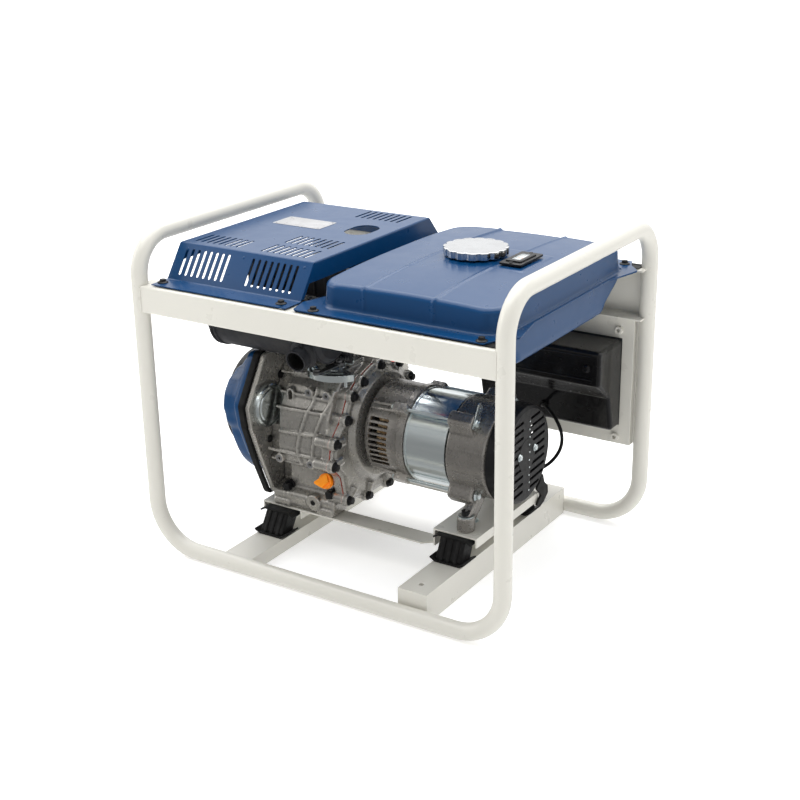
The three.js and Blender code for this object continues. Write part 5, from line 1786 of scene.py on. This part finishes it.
core = hoop("x", 48, 70.4, 58, 124, AXIS, 72, 0.4)
piece("stator_windings", merge(winding(-8, 57, 60), winding(126, 156, 60)), "copper",
      stands_for=("stator_core",))
piece("stator_laminations", core, "iron")


def rear_bell():
    rear, end, r = ALT["rear"], ALT["end"], ALT["r"]
    forms = [lathe("x", [(15, end - 6), (15, end), (r - 3, end), (r + 1, end - 4), (r + 1, rear + 0.6),
                         (71, rear + 0.6), (71, end - 6)], AXIS, 96, 1.2)]
    lug_side = soften([(66, -24), (80, -15), (96, -10), (96, 10), (80, 15), (66, 24)], 7, 4)
    forms += [round_shaft(prism("x", lug_side, rear + 0.8, rear + 43, 3), angle) for angle in LUG_ANGLES]
    for side in (-1, 1):
        web = [(side * 90, 111), (side * 88, 99), (side * 68, 97), (side * 34, 124), (side * 50, 142)]
        forms.append(bar("z", 14, 89.4, 112.4, (FOOT["x"], side * FOOT["y"]), 48, 1.2))
        forms.append(prism("x", soften(web, 4, 3), 160, 176, 2))
    rib = tube([(rear + 8, r + 0.3, AXIS_Z), (end - 6, r + 0.3, AXIS_Z)], 1.2, 8)
    ribs = [turned_about(rib, "x", angle, (0, 0, AXIS_Z)) for angle in (14, 166, 194, 346)]
    return cast(carved(merge(*forms, *ribs), bar("x", 70.6, rear - 1, end - 6, AXIS, 64, 0), loose=True),
                1.5, 2)


piece("rear_bell_casting", rear_bell(), "bell_alloy", stands_for=("alternator_rear_bell",), angle=60,
      weighted=False)

studs = []
for angle in LUG_ANGLES:
    a = math.radians(angle)
    y, z = 82 * math.cos(a), AXIS_Z + 82 * math.sin(a)
    studs.append(bar("x", 2.8, 30, 176, (y, z), 20, 0.5))
    studs.append(stand(hex_bolt(10, 6, 8.5), (ALT["rear"] + 44, y, z), "x", 1, 15))
    studs.append(stand(hex_bolt(9, 5), (29, y, z), "x", -1, 5))
for side in (-1, 1):
    studs.append(bar("z", 12.6, 112, 113.8, (FOOT["x"], side * FOOT["y"]), 40, 0.4))
strap_side = soften([(-71, 251), (-60, 244), (-40, 277), (-51, 287)], 3, 3)
strap = carved(prism("x", strap_side, ALT["rear"] + 43.6, ALT["rear"] + 45.4, 0.3),
               bar("x", 2.6, ALT["rear"] + 40, ALT["rear"] + 50, (-49, 277), 20, 0))
piece("through_studs", merge(*studs, strap), "zinc")
foot_bolts = [shifted(hex_bolt(12, 8, socket=True), FOOT["x"], side * FOOT["y"], 113.4) for side in (-1, 1)]
piece("foot_bolts", merge(*foot_bolts), "black_plastic")


def end_cover():
    end, cover = ALT["end"], ALT["cover"]
    shell = lathe("x",
                  [(0, cover - 3), (70, cover - 3), (74.8, cover - 8), (74.8, end + 0.4), (78, end + 0.4),
                   (78, cover - 8), (76.4, cover - 3), (72, cover), (0, cover)], AXIS, 112, 1.2, 4)
    cutters, lips, pins = [], [], []
    pin = turned_about(bar("z", 1.5, -2, 1, (0, 0), 16, 0.4), "y", 90)
    for i in range(10):
        rise = 56 - i * 12.5
        outer = min(58, math.sqrt(70 ** 2 - rise ** 2))
        for side in (-1, 1):
            mid, length = side * (outer + 11) / 2, outer - 11
            at = Matrix.Translation((0, mid, AXIS_Z + rise)) @ Matrix.Rotation(math.radians(3), 4, "X")
            slot = prism("x", [(b, a) for a, b in stadium(4.8, length)], cover - 6, cover + 2, 0)
            cutters.append(moved(slot, at))
            lip = tube([(cover - 1.2, 3 - length / 2, 3.1), (cover - 1.2, length / 2 - 3, 3.1)], 1.3, 8)
            lips.append(moved(lip, at))
        pins.append(shifted(pin, cover, 7 if i % 2 else 8, AXIS_Z + rise - 4))
    hub = bar("x", 27, cover - 1, cover + 0.5, AXIS, 64, 0.4, 26)
    return merge(carved(shell, *cutters, bevel=0.25, angle=40), *lips, hub), merge(*pins)


cover_form, cover_pins = end_cover()
piece("fan_cover_pins", cover_pins, "zinc")
piece("alternator_fan_cover", cover_form, "black_plastic", stands_for=("alternator_end_cover",), angle=40)
cover_screws = [stand(hex_bolt(8, 3.6, 6), (ALT["cover"] + 0.4, y, 200), "x", 1) for y in (-24.5, 24.5)]
piece("fan_cover_screws", merge(*cover_screws), "zinc")

LEAD = [
    (186, 62.5, 148.5), (188, 72, 141), (193, 84, 134), (201, 95, 132), (211, 103, 138), (221, 109, 150),
    (228, 113, 165), (229, 117, 180), (223, 123, 194), (211, 131, 206), (197, 140, 213), (183, 151, 216),
    (172, 162, 213), (166, 171, 208), (164, 175, 206.5), (164, 180.6, 206),
]
lead = tube(smooth_path(LEAD, 6), 2.75, 16)
sleeve = tube(smooth_path(LEAD[:3], 6), 3.6, 16)
gland = hoop("y", 2.8, 6.5, 176, 181, (164, 206), 32, 0.5)
piece("alternator_lead_sheath", merge(lead, sleeve, gland), "black_rubber", stands_for=("alternator_lead",))


# ---------------------------------------------------------------- fuel tap and air filter

TAP = {"x": 40, "y": -60, "low": 352, "pivot": 368}


def fuel_tap():
    x, y, low = TAP["x"], TAP["y"], TAP["low"]
    top = span("fuel_tap")[1].z
    return merge(
        lathe("z", [(0, low), (8, low), (9.5, low + 1.5), (9.5, low + 9), (11, low + 10), (11, low + 26),
                    (7, low + 31),
                    (7, low + 32), (0, low + 32)], (x, y), 40, 0.7),
        prism("z", [(x + a, y + b) for a, b in polygon(8.2, 6)], low + 31, low + 37, 0.6),
        bar("z", 5.6, low + 36, top, (x, y), 28, 0.4),
        lathe("y", [(0, y), (5, y), (5, y + 24), (6, y + 25.5), (4.4, y + 29), (6, y + 30), (4.2, y + 34),
                    (0, y + 34)],
              (x, 362), 32, 0.4),
        bar("y", 7.5, y - 10.7, y, (x, TAP["pivot"]), 32, 0.5),
    )


piece("fuel_tap_body", fuel_tap(), "steel", stands_for=("fuel_tap",))


def tap_arm():
    x, y, z = TAP["x"], TAP["y"], TAP["pivot"]
    hub = bar("y", 6, y - 20, y - 11.6, (x, z), 36, 0.7, 6.6)
    arm = soften([(x - 3, z), (x - 4, z - 32), (x + 4, z - 32), (x + 3, z)], 3, 4)
    return merge(hub, prism("y", arm, y - 20, y - 16, 1.2))


piece("fuel_tap_arm", tap_arm(), "red_plastic", "tap_lever_body", ("fuel_tap_lever",))


def filter_housing():
    r, inner, outer = 50, 62, 152
    at = x, z = -115, 386
    shell = lathe("y",
                  [(18, inner), (r - 3, inner), (r, inner + 3), (r, inner + 50), (r - 1.5, inner + 52),
                   (r, inner + 54), (r, outer - 10), (r - 3, outer - 3), (r - 9, outer), (14, outer),
                   (11, outer - 1.6), (0, outer - 1.6), (0, outer - 4), (r - 10, outer - 4),
                   (r - 3, outer - 11), (r - 3, inner + 3), (18, inner + 3)], at, 96, 0.8)
    rib = tube([(x + (r - 0.4), inner + 60, z), (x + (r - 0.4), outer - 12, z)], 1.3, 8)
    ribs = [turned_about(rib, "y", i * 22.5, (x, 0, z)) for i in range(16)]
    clip = merge(block((r - 1, r + 2.4), (inner + 44, inner + 64), (-6, 6), 1),
                 block((r, r + 4), (inner + 58, inner + 62), (-5, 5), 1))
    clips = [turned_about(shifted(clip, x=x, z=z), "y", angle, (x, 0, z)) for angle in (40, 160, 280)]
    nut = stand(merge(hex_bolt(11, 5, 9), block((-12, 12), (-1.6, 1.6), (3, 6), 1)), (x, outer - 7.6, z),
                "y", 1)
    return merge(shell, *ribs, *clips, nut)


piece("air_filter_bowl", filter_housing(), "black_plastic", stands_for=("air_filter_housing",))


# ---------------------------------------------------------------- control box and panel

PANEL = {"left": 28, "right": 300, "low": 148, "high": 363.7, "inner": 219, "outer": 238, "face": 224.5}
FACE = PANEL["face"]


def control_box():
    back = PANEL["inner"] - 0.4
    outline = soften([(back, 327), (136, 327), (136, 271), (174, 240), (187, 184), (191, 180), (back, 180)],
                     8, 5)
    inside = [(back + 1, 324), (139, 324), (139, 272.5), (176.5, 242), (190, 185.5), (193, 183),
              (back + 1, 183)]
    box = prism("x", outline, 46, 281, 6, 5)
    ridges = [tube([(60, 135.6, z), (268, 135.6, z)], 1.3, 8) for z in (318, 280)]
    screws = [stand(hex_bolt(8, 4, 6.5), (x, 136, 298), "y", -1) for x in (70, 258)]
    return merge(carved(box, prism("x", inside, 49, 278, 0)), *ridges, *screws)


piece("control_box_shell", control_box(), "gloss_plastic", stands_for=("control_box",))

METER, KEY, BREAKER = (92, 290), (238, 292), (166, 291)
SOCKETS = {"socket_left": (226, 216), "socket_right": (110, 216)}


def panel_plate():
    edge = 2.8
    low, high = FACE - 3, FACE
    plate = block((PANEL["left"] + edge, PANEL["right"] - edge), (low, high),
                  (PANEL["low"] + edge, PANEL["high"] - edge), 0.8)
    cutters = [bar("y", 24.3, low - 2, high + 2, METER, 48, 0),
               bar("y", 11.3, low - 2, high + 2, KEY, 32, 0),
               block((BREAKER[0] - 17.3, BREAKER[0] + 17.3), (low - 2, high + 2),
                     (BREAKER[1] - 24.3, BREAKER[1] + 24.3), 0)]
    cutters += [bar("y", 25.3, low - 2, high + 2, at, 48, 0) for at in SOCKETS.values()]
    return carved(plate, *cutters, bevel=0.3)


piece("control_panel_plate", panel_plate(), "panel_grey", stands_for=("control_panel",))
label_spots = [
    (METER[0] - 26, METER[0] + 26, 250, 258), (206, 270, 264, 272), (140, 192, 248, 255),
    (40, 120, 166, 178), (196, 256, 166, 178),
]
labels = [prism("y", rounded_rect(*spot, 1.5), FACE, FACE + 0.5, 0.15) for spot in label_spots]
piece("blank_label_plates", merge(*labels), "zinc")
panel_screws = [stand(hex_bolt(7, 3, 5.5), (x, FACE, z), "y", 1) for x in (38, 164, 290) for z in (156, 356)]
piece("panel_screws", merge(*panel_screws), "black_plastic")


def voltmeter():
    x, z = METER
    rim = lathe("y", [(24.5, FACE + 0.4), (28, FACE + 0.4), (28, FACE + 4.6), (26.5, FACE + 7),
                      (24.8, FACE + 7), (23.6, FACE + 2), (23.6, FACE + 1)], METER, 72, 0.4)
    can = bar("y", 24, FACE - 33, FACE + 0.8, METER, 48, 0.6)
    piece("voltmeter_case", merge(rim, can), "black_plastic", stands_for=("voltmeter",))
    piece("voltmeter_dial", bar("y", 23, FACE + 0.9, FACE + 1.4, METER, 48, 0.1), "white_paint")
    ticks = []
    for i in range(21):
        length = 5 if i % 5 == 0 else 3
        mark = block((x - 0.35, x + 0.35), (FACE + 1.3, FACE + 1.7), (z + 20 - length, z + 20), 0)
        ticks.append(turned_about(mark, "y", -60 + 6 * i, (x, 0, z - 2)))
    needle = block((x - 0.5, x + 0.5), (FACE + 2.4, FACE + 3), (z - 4, z + 15), 0.2)
    needle = turned_about(needle, "y", 38, (x, 0, z - 2))
    hub = bar("y", 2.4, FACE + 1, FACE + 3.6, (x, z - 2), 24, 0.4)
    piece("voltmeter_scale", merge(*ticks, needle, hub), "black_plastic")
    piece("voltmeter_glass", bar("y", 23.6, FACE + 4.6, FACE + 5.2, METER, 48, 0.1), "glass")


voltmeter()


def mains_socket(at):
    x, z = at
    flange = prism("y", rounded_rect(x - 29, x + 29, z - 29, z + 29, 7), FACE + 0.4, FACE + 6, 1.6, 3)
    well = bar("y", 25, FACE - 30, FACE + 2, at, 64, 0.8)
    recess = bar("y", 20, FACE - 13, FACE + 8, at, 64, 0)
    holes = [bar("y", 2.5, FACE - 24, FACE - 12, (x + dx, z), 20, 0) for dx in (-9.5, 9.5)]
    body = carved(merge(flange, well), recess, bevel=0.4, loose=True)
    body = carved(body, *holes)
    ring = hoop("y", 20, 23, FACE + 5.4, FACE + 6.8, at, 64, 0.4)
    springs = [block((x - 2, x + 2), (FACE - 11, FACE - 1), sorted((z + s * 17, z + s * 19.6)), 0.4)
               for s in (-1, 1)]
    return merge(body, ring), merge(*springs)


for name, at in SOCKETS.items():
    body, springs = mains_socket(at)
    piece(name + "_body", body, "black_plastic", stands_for=(name,))
    piece(name + "_earth_springs", springs, "zinc")


def breaker_body():
    x, z = BREAKER
    rim = prism("y", rounded_rect(x - 21, x + 21, z - 29, z + 29, 4), FACE + 0.4, FACE + 3, 1.0)
    body = block((x - 17, x + 17), (FACE - 36, FACE + 1), (z - 24, z + 24), 1)
    well = block((x - 10, x + 10), (FACE - 14, FACE + 5), (z - 15, z + 15), 0)
    screws = [stand(hex_bolt(6, 1.6), (x, FACE + 3, z + s * 24), "y", 1) for s in (-1, 1)]
    return merge(carved(merge(rim, body), well, bevel=0.4, loose=True), *screws)


piece("breaker_case", breaker_body(), "black_plastic", stands_for=("breaker_body",))
toggle = merge(
    bar("x", 6, BREAKER[0] - 8, BREAKER[0] + 8, (FACE - 5, BREAKER[1]), 40, 0.8),
    prism("x", soften([(FACE - 5, BREAKER[1] - 3), (FACE - 5, BREAKER[1] + 3), (FACE + 9, BREAKER[1] + 10),
                       (FACE + 10, BREAKER[1] + 5)], 2, 3), BREAKER[0] - 8, BREAKER[0] + 8, 1.0),
)
piece("breaker_rocker", toggle, "red_plastic", "toggle_body", ("breaker_toggle",))

lock = lathe("y", [(6, FACE - 12), (10.6, FACE - 12), (10.6, FACE + 0.4), (15, FACE + 0.4),
                   (14.4, FACE + 3), (11, FACE + 4), (6.4, FACE + 4), (6, FACE + 3)], KEY, 64, 0.4)
lock_body = bar("y", 11, FACE - 30, FACE - 12, KEY, 48, 0.6)
piece("key_switch_barrel", merge(lock, lock_body), "chrome", stands_for=("key_switch",))
bow_side = soften(rounded_rect(FACE + 5, FACE + 19, KEY[1] - 11, KEY[1] + 11, 4), 1)
bow = prism("x", bow_side, KEY[0] - 1.4, KEY[0] + 1.4, 0.5)
key = merge(
    carved(bow, bar("x", 2.6, KEY[0] - 3, KEY[0] + 3, (FACE + 15, KEY[1]), 24, 0)),
    block((KEY[0] - 1, KEY[0] + 1), (FACE - 10, FACE + 7), (KEY[1] - 4, KEY[1] + 4), 0.3),
)
piece("ignition_key_cut", key, "steel", "key_body", ("ignition_key",))

threaded = [hoop("y", 3, 6.5, 213, 219, at, 32, 0.5)
            for at in ((275, 341), (54, 341), (275, 160), (54, 160))]
piece("panel_threaded_bosses", merge(*threaded), "white_paint")


# ---------------------------------------------------------------- materials of the CAD nodes that stay

STAYING = {
    "zinc": ["fuel_strainer"],
    "steel": ["crankshaft", "alternator_rotor", "piston"],
    "filter_paper": ["air_filter_element"],
}
for look, names in STAYING.items():
    for node in names:
        dress(node, look, 0.4)
